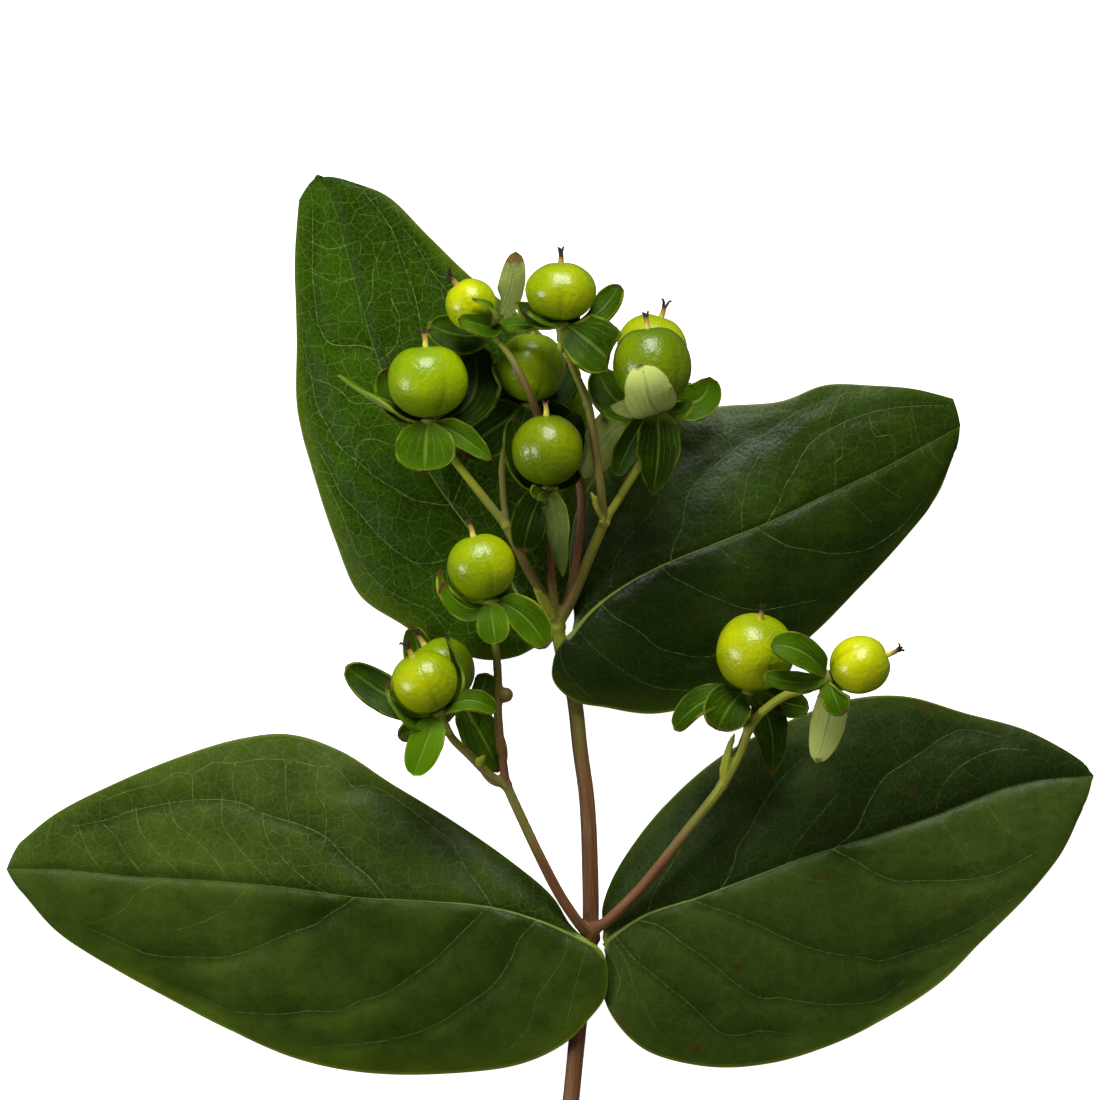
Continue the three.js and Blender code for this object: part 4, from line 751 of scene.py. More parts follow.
def leaf_point(lines, shape_of, t, x, rib, deep_veins, settings):
    """The middle of the blade at share t of its length, x from -1 on its left margin to 1 on its right."""
    side = 0 if x < 0 else 1
    s = abs(x) ** RIB_CROWDING
    middle, edge = lines[1], lines[2 * side]
    p = middle.lerp(edge, s)
    ends = math.sin(math.pi * min(max(t, 0), 1)) ** 0.5
    p.z += LEAF_PILLOW * math.sin(math.pi * s) * ends
    p.z += LEAF_WAVE * s * s * ends * math.sin(2 * math.pi * LEAF_WAVES * t + WAVE_PHASE[side])
    rib_offset, rib_near, _ = rib.nearest(p)
    from_rib = abs(rib_offset) if rib_near < RIB_REACH else rib_near
    p.z += shape_of["fold"] * math.exp(-(from_rib / FOLD_WIDTH) ** 2) * ends
    vein = min(deep_veins.nearest(p)[1], from_rib * RIB_VALLEY)
    crown = 1 - math.exp(-(vein / QUILT_WIDTH) ** 2)
    p.z += shape_of["quilt"] * settings.quilting / MM * (crown - QUILT_MIDDLE) * ends * (1 - s ** 6)
    p.z -= settings.rib_groove / MM * math.exp(-(from_rib / GROOVE_WIDTH) ** 2) * (1 - GROOVE_FADE * t)
    p.z += DENT_HEIGHT * noise.noise(p * DENT_FINENESS) * ends
    p.z = max(p.z, LEAF_LOWEST + LEAF_CLEARANCE)
    return p, s, from_rib


def leaf_facts(p, x, t, s, from_rib, shape_of, deep_veins, fine_veins):
    """What the leaf's material reads at one point."""
    offset, near, width = deep_veins.nearest(p)
    fine_offset, fine_near, _ = fine_veins.nearest(p)
    across = smooth_step(-HALF_BLEND, HALF_BLEND, from_rib * (1 if x > 0 else -1))
    left_lighting, right_lighting = shape_of["half_lighting"]
    left_net, right_net = shape_of["net"]
    # the tone and shading is painted light and shade: each half as bright as the light falls on it, darker to
    # the base, lighter to the tip
    return {
        "side_offset": offset, "side_near": near, "side_width": width,
        "fine_offset": fine_offset, "fine_near": fine_near,
        "from_rib": from_rib, "outward": s, "along": t,
        "tone": left_lighting + (right_lighting - left_lighting) * across + shape_of["light_to_tip"] * (t - TIP_START),
        "netting": left_net + (right_net - left_net) * across,
    }


def leaf(name, shape_of, settings):
    piece = grid(f"blade_{name}", LEAF_ACROSS, LEAF_ALONG)
    curves = [through(shape_of[key]) for key in ("left", "rib", "right")]
    deep_veins = VeinMap([vein for vein in SIDE_VEINS[name] if vein[0] > FINE_VEIN])
    fine_veins = VeinMap([vein for vein in SIDE_VEINS[name] if vein[0] <= FINE_VEIN])
    rib = VeinMap([(1, [(x, y) for x, y, _ in shape_of["rib"]])])
    rows = {}
    facts = []
    for vertex in piece.data.vertices:
        t, x = round((vertex.co.y + 1) / 2, 6), vertex.co.x
        if t not in rows:
            rows[t] = [curve(t) for curve in curves]
        p, s, from_rib = leaf_point(rows[t], shape_of, t, x, rib, deep_veins, settings)
        facts.append(leaf_facts(p, x, t, s, from_rib, shape_of, deep_veins, fine_veins))
        vertex.co = p * MM
    for key in facts[0]:
        store(piece, key, [fact[key] for fact in facts])
    piece.data.update()
    group = piece.vertex_groups.new(name="blade")
    for vertex, fact in zip(piece.data.vertices, facts):
        group.add([vertex.index], 1 - MARGIN_THINNING * fact["outward"] ** 5, "REPLACE")
    piece.data.materials.append(leaf_material(shape_of, settings))
    piece.data.materials.append(underside_material(settings))
    blade = wall(piece, settings.thickness)
    blade.vertex_group = "blade"
    blade.thickness_vertex_group = MARGIN_THICKNESS
    blade.material_offset = 1
    apply_modifiers(piece)
    keel(piece, facts, settings)
    smooth(piece, SHEET_CREASE)
    finish_piece(piece, f"leaf_{name}", f"leaf_{name}")


def keel(piece, facts, settings):
    """Lets the midrib stand out below the blade, less to the tip and not at all below the surface."""
    skin = len(facts)
    for i, fact in enumerate(facts):
        lower = min((piece.data.vertices[i], piece.data.vertices[i + skin]), key=lambda v: v.co.z)
        depth = settings.rib_keel * math.exp(-(fact["from_rib"] / KEEL_WIDTH) ** 2) * (1 - fact["along"])
        lower.co.z = max(lower.co.z - depth, KEEL_LOWEST * MM)


# sizes of the blade's patterns, in metres
PATCH = 0.012
STAIN = 0.0065
BLOTCH = 0.0045
NET_CELL = 0.0026
MOTTLE = 0.0012
MESH_CELL = 0.00095
BEAD = 0.0007
LEAF_GRAIN = 0.00045
LEAF_RELIEF = 0.00012
UNDER_CELL = 0.0031
UNDER_RELIEF = 0.0002

# the blade's green in painted shade and in painted light; the dark one also darkens the mottles, the light
# one also brightens the grain
DARK_SHARE = 0.45
LIGHT_SHARES = (2.1, 1.75, 1.6)
MARGIN_GREEN = (0.115, 0.175, 0.006)
EDGE_GREEN = (0.20, 0.23, 0.02)
RIB_GREEN = (0.31, 0.43, 0.08)
ROOT_GREEN = (0.22, 0.30, 0.02)
STAIN_BROWN = (0.085, 0.030, 0.012)
STAIN_STRENGTH = {"shade": 0.6, "mid": 0.30, "dark": 0.15}
UNDER_NET = (0.26, 0.36, 0.14)
UNDER_VEIN = (0.36, 0.45, 0.18)


def line_mask(n, offset, near, width):
    """White along a vein: offset and near are read from the mesh, width is half the vein's width, in mm."""
    ratio = n.math("DIVIDE", n.math("ABSOLUTE", n.attribute(offset)), width)
    return n.times(n.ramp(ratio, 0.45, 1.5, 1, 0), n.ramp(n.attribute(near), 0.5, 0.8, 1, 0))


def leaf_material(shape_of, settings):
    look = shape_of["look"]
    n = Nodes(f"leaf_{look}")
    base = getattr(settings, look)
    # dark and light are the blade's green in painted shade and in painted light
    dark = tinted(base, DARK_SHARE)
    light = tinted(base, *LIGHT_SHARES)
    pale = settings.vein
    place = n.place()
    outward, along = n.attribute("outward"), n.attribute("along")
    netting = n.attribute("netting")

    # veins, from the midrib to the finest mesh
    beads = n.ramp(n.noise(place, BEAD, 2), 0.34, 0.60, 0.25, 1.0)
    side_half = n.times(n.attribute("side_width"), 0.45)
    side_line = n.times(line_mask(n, "side_offset", "side_near", side_half), beads)
    fine_line = n.times(line_mask(n, "fine_offset", "fine_near", 0.065), beads)
    rib_half = n.ramp(along, 0.0, 0.55, settings.rib_width / MM / 2, 0.09)
    rib_line = n.ramp(n.math("DIVIDE", n.attribute("from_rib"), rib_half), 0.5, 1.3, 1, 0)
    net = n.ramp(n.web(n.wobble(place, 0.005, 0.0008), NET_CELL), 0.006, 0.034, 1, 0)
    mesh_web = n.web(n.wobble(place, 0.0016, 0.0003), MESH_CELL)
    mesh = n.ramp(mesh_web, 0.02, 0.11, 1, 0)

    # greens: painted light and shade by half and to the tip, painted shade darker in the valleys, yellower at
    # the margin
    patches = n.noise(place, PATCH, 4)
    grain = n.noise(place, LEAF_GRAIN, 4, 0.65)
    drift = n.plus(n.swing(patches, 1.15), n.swing(n.noise(place, BLOTCH, 3), 0.65))
    # the blade's green runs from its painted shade to its painted light, with random patches over it
    body = n.mix(n.ramp(n.plus(n.attribute("tone"), drift), -0.05, 1.0), dark, light)
    body = n.mix(n.times(n.ramp(grain, 0.35, 0.7), 0.22), body, light)
    body = n.mix(n.ramp(n.noise(place, MOTTLE, 3, 0.6), 0.45, 0.68, 0, 0.24), body, dark)
    # painted shade in the valleys beside the side veins, deeper on more quilted blades
    valley_shade = n.ramp(n.attribute("side_near"), 0.1, 1.5, 1, 0)
    body = n.mix(n.times(valley_shade, 0.42 * shape_of["quilt"]), body, dark)
    body = n.mix(n.times(n.ramp(outward, 0.80, 1.0), shape_of["margin"] * 0.6), body, MARGIN_GREEN)
    body = n.mix(n.times(n.ramp(outward, 0.975, 0.995), 0.6), body, EDGE_GREEN)

    # the veins over the greens, and brown stains over both
    body = n.mix(n.times(mesh, n.times(netting, 0.17)), body, pale)
    body = n.mix(n.times(n.times(net, beads), n.times(netting, 0.50)), body, pale)
    body = n.mix(n.times(fine_line, n.ramp(netting, 0, 1, 0.22, 0.62)), body, pale)
    body = n.mix(n.times(side_line, n.ramp(netting, 0, 1, 0.36, 0.85)), body, pale)
    body = n.mix(n.times(rib_line, n.ramp(along, 0.05, 0.70, 0.92, 0.40)), body, RIB_GREEN)
    body = n.mix(n.ramp(along, 0.0, 0.06, 0.85, 0), body, ROOT_GREEN)
    if look in STAIN_STRENGTH:
        stain = n.ramp(n.noise(place, STAIN, 4, 0.6), 0.62, 0.74)
        body = n.mix(n.times(stain, STAIN_STRENGTH[look]), body, STAIN_BROWN)

    sunk = n.plus(n.times(side_line, 0.8), n.times(fine_line, 0.5))
    swell = n.ramp(mesh_web, 0.0, 0.5)
    relief = n.minus(n.plus(n.times(swell, 0.22), n.times(grain, 0.55)), sunk)
    n.set(Base_Color=body, Roughness=n.ramp(patches, 0.3, 0.7, 0.33, 0.46),
          Normal=n.bump(relief, LEAF_RELIEF * shape_of["crinkle"], 0.7), Specular_IOR_Level=shape_of["gloss"])
    return n.material


def underside_material(settings):
    n = Nodes("leaf_underside")
    place = n.place()
    side_line = line_mask(n, "side_offset", "side_near", 0.2)
    net = n.ramp(n.web(n.wobble(place, 0.006, 0.0022), UNDER_CELL), 0.013, 0.065, 1, 0)
    rib_line = n.ramp(n.attribute("from_rib"), 0.4, 0.8, 1, 0)
    green = settings.underside
    body = n.mix(n.ramp(n.noise(place, PATCH, 4), 0.3, 0.7), tinted(green, 0.75), green)
    body = n.mix(n.times(net, 0.35), body, UNDER_NET)
    body = n.mix(n.times(n.larger(side_line, rib_line), 0.75), body, UNDER_VEIN)
    raised = n.plus(side_line, n.times(net, 0.4))
    n.set(Base_Color=body, Roughness=0.62, Normal=n.bump(raised, UNDER_RELIEF, 0.8))
    return n.material


class PLANT_OT_leaves(bpy.types.Operator):
    """Grow the four leaves, each with a sunken midrib, quilted side veins and a keel below"""
    bl_idname = "plant.leaves"
    bl_label = "Leaves"

    def execute(self, context):
        for name, shape_of in LEAVES.items():
            leaf(name, shape_of, context.scene.leaf_settings)
        return {"FINISHED"}


# ---------------------------------------------------------------- berry pieces, in millimetres
BERRY_AROUND = 120
BERRY_RINGS = 56
SEAM_STEP = 2 * math.pi / 3
SEAM_LEAST = 0.12  # share of a seam's depth that is left at the styles
SEAM_FADE = 1.6
CREASE_WIDTH = 0.085
CREASE_SHARE = 0.32
HOLLOW_WIDTH = 0.42
HOLLOW_SHARE = 0.95
BULGE_FINENESS = 1.4
BULGE_HEIGHT = 0.022
BULGE_STEP = 7.1  # moves each berry to its own part of the noise
CALYX_FULLNESS = 0.9
DIMPLE_DEPTH = 0.34
DIMPLE_WIDTH = 0.28

# sizes of the skin's patterns, in metres
BERRY_PATCH = 0.008
SCAR = 0.0021
SPECK = 0.0009
PEEL = 0.0007
PEEL_RELIEF = 0.00019
FLESH_DEPTH = 0.0016

# the skin's deep green serves its random patches, its darker top round the styles, and the painted shade at
# the calyx end and along the seams
DEEP_SHARES = (0.56, 0.68, 1)
GLOW_SHARES = (1.45, 1.22, 1.6)
SCAR_BROWN = (0.10, 0.05, 0.01)
FLESH_REACH = (0.9, 1.0, 0.25)


def axis_of(berry):
    return Vector(berry[1]).normalized()


def below(berry, distance):
    return Vector(berry[0]) - axis_of(berry) * (berry[3] + distance)


def onto_berry(berry):
    """Takes a point from an upright berry at the origin, in mm, to its place on the stem."""
    turn = UP.rotation_difference(axis_of(berry))
    middle = Vector(berry[0])
    return lambda p: (turn @ p + middle) * MM


def berry_piece(number, berry, settings):
    _, _, radius, half, turn, skin, _ = berry
    piece = ball(f"fruit_{number:02d}", BERRY_AROUND, BERRY_RINGS)
    put = onto_berry(berry)
    heights, seams, creases = [], [], []
    own_noise = Vector((number * BULGE_STEP, 0, 0))

    def place(p):
        """From a unit sphere's point; polar runs from 0 at the calyx to pi at the styles."""
        polar = math.acos(min(max(-p.z, -1), 1))
        angle = math.atan2(p.y, p.x)
        turned = (angle - math.radians(turn)) % SEAM_STEP
        from_seam = min(turned, SEAM_STEP - turned)
        fade = SEAM_LEAST + (1 - SEAM_LEAST) * ((1 + math.cos(polar)) / 2) ** SEAM_FADE
        crease = math.exp(-(from_seam / CREASE_WIDTH) ** 2) * fade
        seam = CREASE_SHARE * crease + HOLLOW_SHARE * math.exp(-(from_seam / HOLLOW_WIDTH) ** 2) * fade
        uneven = noise.noise(p * BULGE_FINENESS + own_noise) * BULGE_HEIGHT
        fullness = math.sin(polar) ** (CALYX_FULLNESS if polar < math.pi / 2 else SHOULDERS[number - 1])
        reach = radius * fullness * (1 - settings.seam_depth * seam * math.sin(polar) ** 0.5 + uneven)
        dimple = DIMPLE_DEPTH * math.exp(-((math.pi - polar) / DIMPLE_WIDTH) ** 2)
        heights.append((1 - math.cos(polar)) / 2)
        seams.append(seam)
        creases.append(crease)
        return put(around(angle, reach, -math.cos(polar) * half - dimple))

    shape(piece, place)
    store(piece, "height", heights)
    store(piece, "seam", seams)
    store(piece, "crease", creases)
    piece.data.materials.append(berry_material(skin, settings))
    smooth(piece, ROUND_CREASE)
    finish_piece(piece, f"berry_{number:02d}", f"berry_{number:02d}")


def berry_material(skin, settings):
    name = f"berry_{skin}"
    if name in bpy.data.materials:
        return bpy.data.materials[name]
    n = Nodes(name)
    base = getattr(settings, skin)
    deep = tinted(base, *DEEP_SHARES)
    glow = [min(value, 1) for value in tinted(base, *GLOW_SHARES)]
    place = n.place()
    height = n.attribute("height")
    body = n.mix(n.ramp(n.noise(place, BERRY_PATCH, 3), 0.28, 0.72), deep, base)
    # painted shade towards the calyx end
    body = n.mix(n.ramp(height, 0.02, 0.34, 0.60, 0), body, tinted(deep, 0.62))
    body = n.mix(n.ramp(height, 0.80, 1.0, 0, 0.40), body, deep)
    body = n.mix(n.times(n.ramp(n.dots(place, SPECK), 0.10, 0.30, 1, 0), 0.16), body, glow)
    # painted shade in the hollows along the seams, darker still in their creases
    body = n.mix(n.times(n.ramp(n.attribute("seam"), 0.4, 1.2), 0.40), body, deep)
    body = n.mix(n.times(n.attribute("crease"), 0.45), body, tinted(deep, 0.6))
    body = n.mix(n.times(n.ramp(n.noise(place, SCAR, 2), 0.765, 0.80), 0.7), body, SCAR_BROWN)
    n.set(Base_Color=body, Roughness=0.26, Normal=n.bump(n.noise(place, PEEL, 3), PEEL_RELIEF, 0.9),
          Specular_IOR_Level=0.42, Coat_Weight=0.30, Coat_Roughness=0.14, Subsurface_Weight=0.15,
          Subsurface_Radius=FLESH_REACH, Subsurface_Scale=FLESH_DEPTH)
    return n.material


class PLANT_OT_berries(bpy.types.Operator):
    """Shape the twelve berries, each with three seams, a dimple under its styles and a glossy skin"""
    bl_idname = "plant.berries"
    bl_label = "Berries"

    def execute(self, context):
        for number, berry in enumerate(BERRIES, 1):
            berry_piece(number, berry, context.scene.berry_settings)
        return {"FINISHED"}


# ---------------------------------------------------------------- sepal pieces, in millimetres
# half a sepal's width as a share of its widest half, at shares of its length from its root
BLUNT = [(0, 0.26), (0.12, 0.58), (0.25, 0.82), (0.5, 1), (0.62, 0.98)]
POINTED = [(0, 0.3), (0.12, 0.66), (0.25, 0.92), (0.5, 0.96), (0.75, 0.66)]
BROAD = [(0, 0.60), (0.12, 0.86), (0.28, 1), (0.5, 0.95), (0.62, 0.86)]
# the powers that round off the end of a sepal
BLUNT_END = (2.0, 0.5)
POINTED_END = (1.25, 0.9)
LEAST_WIDTH = 0.012
SEPAL_ACROSS = 16
SEPAL_ALONG = 30
SEPAL_ROLL = (-0.12, 0.20)
CUPPING = 0.2
RIPPLES = 9
RIPPLE_HEIGHT = 0.22
RIPPLE_SHIFT = 1.5  # how far the right margin's ripple runs ahead of the left one's
RIPPLE_HALF = 2.2  # sepals whose half is narrower ripple less
SEPAL_GROOVE = 0.16
SEPAL_GROOVE_WIDTH = 0.35
ROOT_SHARE = 0.12  # share of a sepal that stays where its root puts it, even close to a twig
DEEPEST = 0.05  # keeps a point from the very middle of a berry from being thrown far out
BEAD_STEPS = 8  # for each point of a twig's route
CUP_SIDES = 28

# radius and height over the cup's rim, from the cup's middle down to the neck's end
NECK_END = -(CUP_DEPTH + NECK_LENGTH + CUP_GAP)
CUP_OUTLINE = [
    (0.02, 0.25), (CUP_RADIUS * 0.7, 0.18), (CUP_RADIUS * 0.97, 0), (CUP_RADIUS, -0.15),
    (CUP_RADIUS * 0.92, -0.45), (CUP_RADIUS * 0.72, -CUP_DEPTH), (NECK_RADIUS * 1.2, -1.05),
    (NECK_RADIUS * 1.02, -1.5), (NECK_RADIUS, NECK_END), (0.02, NECK_END - 0.1),
]

# sizes of the patterns on sepals and necks, in metres
SEPAL_PATCH = 0.0035
RIM_PATCH = 0.003
NECK_PATCH = 0.003
VEIN_DRIFT = 0.0022
VEIN_GAP = 0.0016
DRY_SPOT = 0.0013
TIP_RAG = 0.0011
NECK_GRAIN = 0.0006
SEPAL_GRAIN = 0.0005
SPECKLE = 0.0004
SEPAL_RELIEF = 0.00009
NECK_RELIEF = 0.00008

VEIN_PAIRS = 3.1
NECK_GREEN = (0.30, 0.36, 0.05)
# each face's darkest and brightest green in the settings, the green and strength of its veins, its roughness
SEPAL_FACES = {
    "sepal_inner": ("deep", "bright", (0.28, 0.41, 0.05), 0.55, 0.45),
    "sepal_outer": ("back_deep", "back_pale", (0.16, 0.24, 0.05), 0.42, 0.6),
}


def sepal_width(table, t):
    """Half the width of a sepal at share t of its length, as a share of its widest half."""
    last_t, last = table[-1]
    if t >= last_t:
        run, drop = POINTED_END if table is POINTED else BLUNT_END
        return last * max(1 - ((t - last_t) / (1 - last_t)) ** run, 0) ** drop + LEAST_WIDTH
    (t0, w0), (t1, w1) = next(pair for pair in zip(table, table[1:]) if t <= pair[1][0])
    return w0 + (w1 - w0) * smooth_step(-0.15, 1.15, (t - t0) / (t1 - t0))


def twig_curve(twig):
    points = [Vector(p) for p in twig[3]]
    if twig[4] is not None:
        end = CUP_GAP + CUP_DEPTH + NECK_LENGTH + CUP_GAP
        points += [below(BERRIES[twig[4]], end + 1), below(BERRIES[twig[4]], end)]
    return through(points), len(points)


def twig_beads():
    """Points along every twig with the twig's thickness there."""
    beads = []
    for twig in TWIGS:
        curve, count = twig_curve(twig)
        steps = count * BEAD_STEPS
        beads += [(curve(i / steps), twig[0] + (twig[1] - twig[0]) * i / steps) for i in range(steps + 1)]
    return beads


def bent_clear(point, beads, tree, clearance, past_root):
    """Moves a point out of the twigs, unless it belongs to a sepal's root, and out of the berries."""
    if past_root:
        _, index, distance = tree.find(point)
        centre, radius = beads[index]
        if 0 < distance < radius + clearance:
            point = centre + (point - centre) * ((radius + clearance) / distance)
    for berry in BERRIES:
        middle, _, radius, half = berry[:4]
        off = point - Vector(middle)
        along = off.dot(axis_of(berry))
        out = math.sqrt(max(off.length_squared - along * along, 0))
        depth = math.hypot(out / (radius + clearance), along / (half + clearance))
        if depth < 1:
            point = Vector(middle) + off / max(depth, DEEPEST)
    return point


def store_looks(piece, tone, dry):
    count = len(piece.data.vertices)
    store(piece, "tone", [tone] * count)
    store(piece, "dry", [dry] * count)


def sepal_piece(name, route, width, face, outline, bend, seed, tone, dry=None, across=SEPAL_ACROSS,
                along=SEPAL_ALONG):
    """A small blade; its route is its root, the point it bends past and its tip."""
    piece = grid(name, across, along)
    dice = random.Random(seed)
    ripple = dice.uniform(0, 6.28)
    roll = dice.uniform(*SEPAL_ROLL)
    dry = dice.random() if dry is None else dry
    face = Vector(face)

    def place(p):
        t = (p.y + 1) / 2
        way = bezier_way(*route, t)
        side = face.cross(way).normalized()
        inner = way.cross(side).normalized()
        half = width / 2 * sepal_width(outline, t)
        q = bezier(*route, t) - side * (p.x * half)
        edge = abs(p.x)
        wave = math.sin(RIPPLES * t + ripple + (RIPPLE_SHIFT if p.x > 0 else 0))
        q += inner * (half * (CUPPING * edge ** 2 - CUPPING / 2) + roll * edge ** 4 * half * t)
        q += inner * (RIPPLE_HEIGHT * wave * edge ** 2 * min(half, RIPPLE_HALF) / RIPPLE_HALF)
        q -= inner * (SEPAL_GROOVE * math.exp(-(p.x * half / SEPAL_GROOVE_WIDTH) ** 2) * (1 - t))
        return bend(q, t > ROOT_SHARE) * MM

    shape(piece, place)
    # the sepal's brightness: partly its own green and partly painted shade
    store_looks(piece, tone, dry)
    return piece


def cup_piece(name, berry):
    """The little cup and thickened neck, turned from its outline."""
    piece = ball(name, CUP_SIDES, len(CUP_OUTLINE) + 1)
    put = onto_berry(berry)
    rim = -berry[3] - CUP_GAP
    levels = levels_of(piece)[::-1]

    def place(p):
        level = levels.index(round(p.z, LEVEL_DIGITS))
        radius, height = CUP_OUTLINE[min(max(level - 1, 0), len(CUP_OUTLINE) - 1)]
        if level in (0, len(levels) - 1):
            radius = 0
        return put(around(math.atan2(p.y, p.x), radius, rim + height))

    shape(piece, place)
    for polygon in piece.data.polygons:
        polygon.material_index = 2
    store_looks(piece, 0.5, 0.0)
    return piece


def calyx_piece(number, berry, settings, bend, materials):
    heart = below(berry, CUP_GAP + CUP_DEPTH / 2)
    axis = axis_of(berry)
    pieces = []
    for n, (via, tip, width, face, blunt) in enumerate(berry[6]):
        outward = Vector(via) - heart
        outward -= axis * outward.dot(axis)
        root = heart + outward.normalized() * CUP_RADIUS * ROOT_SINK
        outline = BROAD if (number, n) in BROAD_SEPALS else BLUNT if blunt else POINTED
        pieces.append(sepal_piece(
            f"sepal_{number}_{n}", (root, Vector(via), Vector(tip)), width, face, outline, bend,
            number * 10 + n, SEPAL_TONES_AND_SHADE[number - 1][n], DRY_SEPALS.get((number, n))))
    blades = join(pieces, f"sepals_{number:02d}")
    cup = cup_piece(f"cup_{number:02d}", berry)
    for piece in (blades, cup):
        for material in materials:
            piece.data.materials.append(material)
    wall(blades, settings.thickness).material_offset = 1
    apply_modifiers(blades)
    whole = join([blades, cup], f"sepals_{number:02d}")
    smooth(whole, SHEET_CREASE)
    finish_piece(whole, "sepal", f"calyx_{number:02d}")


def sepal_material(name, settings):
    deep_name, bright_name, pale, veining, roughness = SEPAL_FACES[name]
    deep, bright = getattr(settings, deep_name), getattr(settings, bright_name)
    n = Nodes(name)
    place = n.place()
    across, along = n.uv()
    off_middle = n.times(n.math("ABSOLUTE", n.minus(across, 0.5)), 2)

    # veins that fan out from the root, broken into dashes, and the midrib
    drift = n.swing(n.noise(place, VEIN_DRIFT, 2), 0.7)
    spread = n.math("DIVIDE", off_middle, n.plus(n.times(n.math("POWER", along, 0.7), 0.85), 0.35))
    turns = n.math("FRACT", n.plus(n.times(spread, VEIN_PAIRS), drift))
    lines = n.math("ABSOLUTE", n.minus(turns, 0.5))
    dashes = n.ramp(n.noise(place, VEIN_GAP, 2), 0.35, 0.62, 0.25, 1.0)
    veins = n.times(n.ramp(lines, 0.40, 0.495), n.times(n.ramp(along, 0.35, 0.90, 1, 0.1), dashes))
    midrib = n.times(n.ramp(off_middle, 0.02, 0.11, 1, 0), n.ramp(along, 0.6, 1.0, 1, 0.3))
    drawn = n.larger(veins, midrib)

    # greens, from each sepal's brightness: partly its own green, partly painted shade deep in the cluster;
    # yellower at the root and the rim
    tone = n.plus(n.attribute("tone"), n.swing(n.noise(place, SEPAL_PATCH, 4), 0.45))
    body = n.mix(n.ramp(tone, -0.02, 0.95), deep, bright)
    speckle = n.ramp(n.noise(place, SPECKLE, 4, 0.6), 0.35, 0.7)
    body = n.mix(n.times(speckle, n.ramp(tone, -0.05, 0.5, 0.03, 0.25)), body, bright)
    body = n.mix(n.ramp(along, 0.0, 0.22, 0.55, 0), body, ROOT_GREEN)
    body = n.mix(n.times(n.times(drawn, veining), n.ramp(tone, 0.0, 0.5, 0.4, 1.0)), body, pale)
    rim = n.larger(n.ramp(off_middle, 0.91, 0.985), n.ramp(along, 0.965, 0.99))
    rim = n.times(rim, n.ramp(n.noise(place, RIM_PATCH, 2), 0.40, 0.62, 0.15, 0.85))
    body = n.mix(n.times(rim, n.ramp(tone, 0.0, 0.4, 0.35, 1.0)), body, settings.rim)

    # dry spots close to the margin, and the ragged dry tip
    near_margin = n.ramp(n.larger(off_middle, along), 0.80, 0.97)
    spots = n.times(n.ramp(n.noise(place, DRY_SPOT, 3), 0.64, 0.72), near_margin)
    dried = n.plus(along, n.times(n.attribute("dry"), 0.08))
    rag = n.swing(n.noise(place, TIP_RAG, 3, 0.6), 0.24)
    tips = n.ramp(n.plus(dried, rag), 1.0, 1.07)
    body = n.mix(n.times(n.larger(spots, tips), 0.8), body, settings.scorch)
    crisp = n.times(tips, n.larger(n.ramp(off_middle, 0.75, 1.0), n.ramp(along, 0.95, 1.0)))
    body = n.mix(n.times(crisp, 0.7), body, tinted(settings.scorch, 0.3))

    height = n.minus(n.times(n.noise(place, SEPAL_GRAIN, 4), 0.4), drawn)
    n.set(Base_Color=body, Roughness=roughness, Normal=n.bump(height, SEPAL_RELIEF, 0.7),
          Specular_IOR_Level=0.07)
    return n.material


def neck_material(settings):
    n = Nodes("berry_neck")
    place = n.place()
    body = n.mix(n.ramp(n.noise(place, NECK_PATCH, 3), 0.35, 0.7), NECK_GREEN, settings.olive)
    n.set(Base_Color=body, Roughness=0.5, Normal=n.bump(n.noise(place, NECK_GRAIN, 3), NECK_RELIEF, 0.6))
    return n.material


class PLANT_OT_calyces(bpy.types.Operator):
    """Set each berry in its small cup with its five or six sepals, bent clear of the berries and twigs"""
    bl_idname = "plant.calyces"
    bl_label = "Calyces"

    def execute(self, context):
        settings = context.scene.sepal_settings
        beads = twig_beads()
        tree = search_tree([centre for centre, _ in beads])
        clearance = settings.clearance / MM

        def bend(point, past_root):
            return bent_clear(point, beads, tree, clearance, past_root)

        materials = [sepal_material("sepal_inner", settings), sepal_material("sepal_outer", settings),
                     neck_material(context.scene.twig_settings)]
        for number, berry in enumerate(BERRIES, 1):
            calyx_piece(number, berry, settings, bend, materials)
        return {"FINISHED"}


# ---------------------------------------------------------------- style pieces, in millimetres
STYLE_RINGS = 14
STYLE_SIDES = 10
# thick end, thin end, and how far along from straw to black each end is
STALK_ENDS = (0.46, 0.33, 0.0, 0.40)
HAIR_ENDS = (0.23, 0.11, 0.3, 1.0)
HAIRS = [(0, 1), (math.pi, 0.92), (1.9, 0.75)]  # angle round the stalk, share of the longest
HAIR_OUT = 0.12
TUBE_CAP = 0.12  # how far a tube's ends are domed, as a share of its thin end

# sizes of the style's patterns, in metres
STYLE_PATCH = 0.0009
STYLE_GRAIN = 0.0004
STYLE_RELIEF = 0.00006

STRAW = (0.82, 0.72, 0.11)
TAN = (0.50, 0.28, 0.05)
DRY_BLACK = (0.028, 0.010, 0.004)


def tube_piece(name, curve, thick, thin, along, sides, put):
    """A closed round twig along a curve, shaped from a ball whose rings become its rings.

    Gives the piece and the share of the curve's length at each of its points.
    """
    piece = ball(name, sides, along + 1)
    levels = levels_of(piece)
    last = len(levels) - 1
    frames = []
    side = None
    for i in range(last + 1):
        t = min(max((i - 1) / (last - 2), 0), 1)
        way = heading(curve, t, 2 * NUDGE)
        side = way.orthogonal().normalized() if side is None else (side - way * side.dot(way)).normalized()
        frames.append((curve(t), way, side, way.cross(side), t))
    shares = []

    def place(p):
        i = levels.index(round(p.z, LEVEL_DIGITS))
        centre, way, across, over, t = frames[i]
        shares.append(t)
        if i in (0, last):
            return put(centre + way * (TUBE_CAP * thin * (1 if i else -1)))
        angle = math.atan2(p.y, p.x)
        radius = thick + (thin - thick) * t
        return put(centre + across * (math.cos(angle) * radius) + over * (math.sin(angle) * radius))

    shape(piece, place)
    return piece, shares


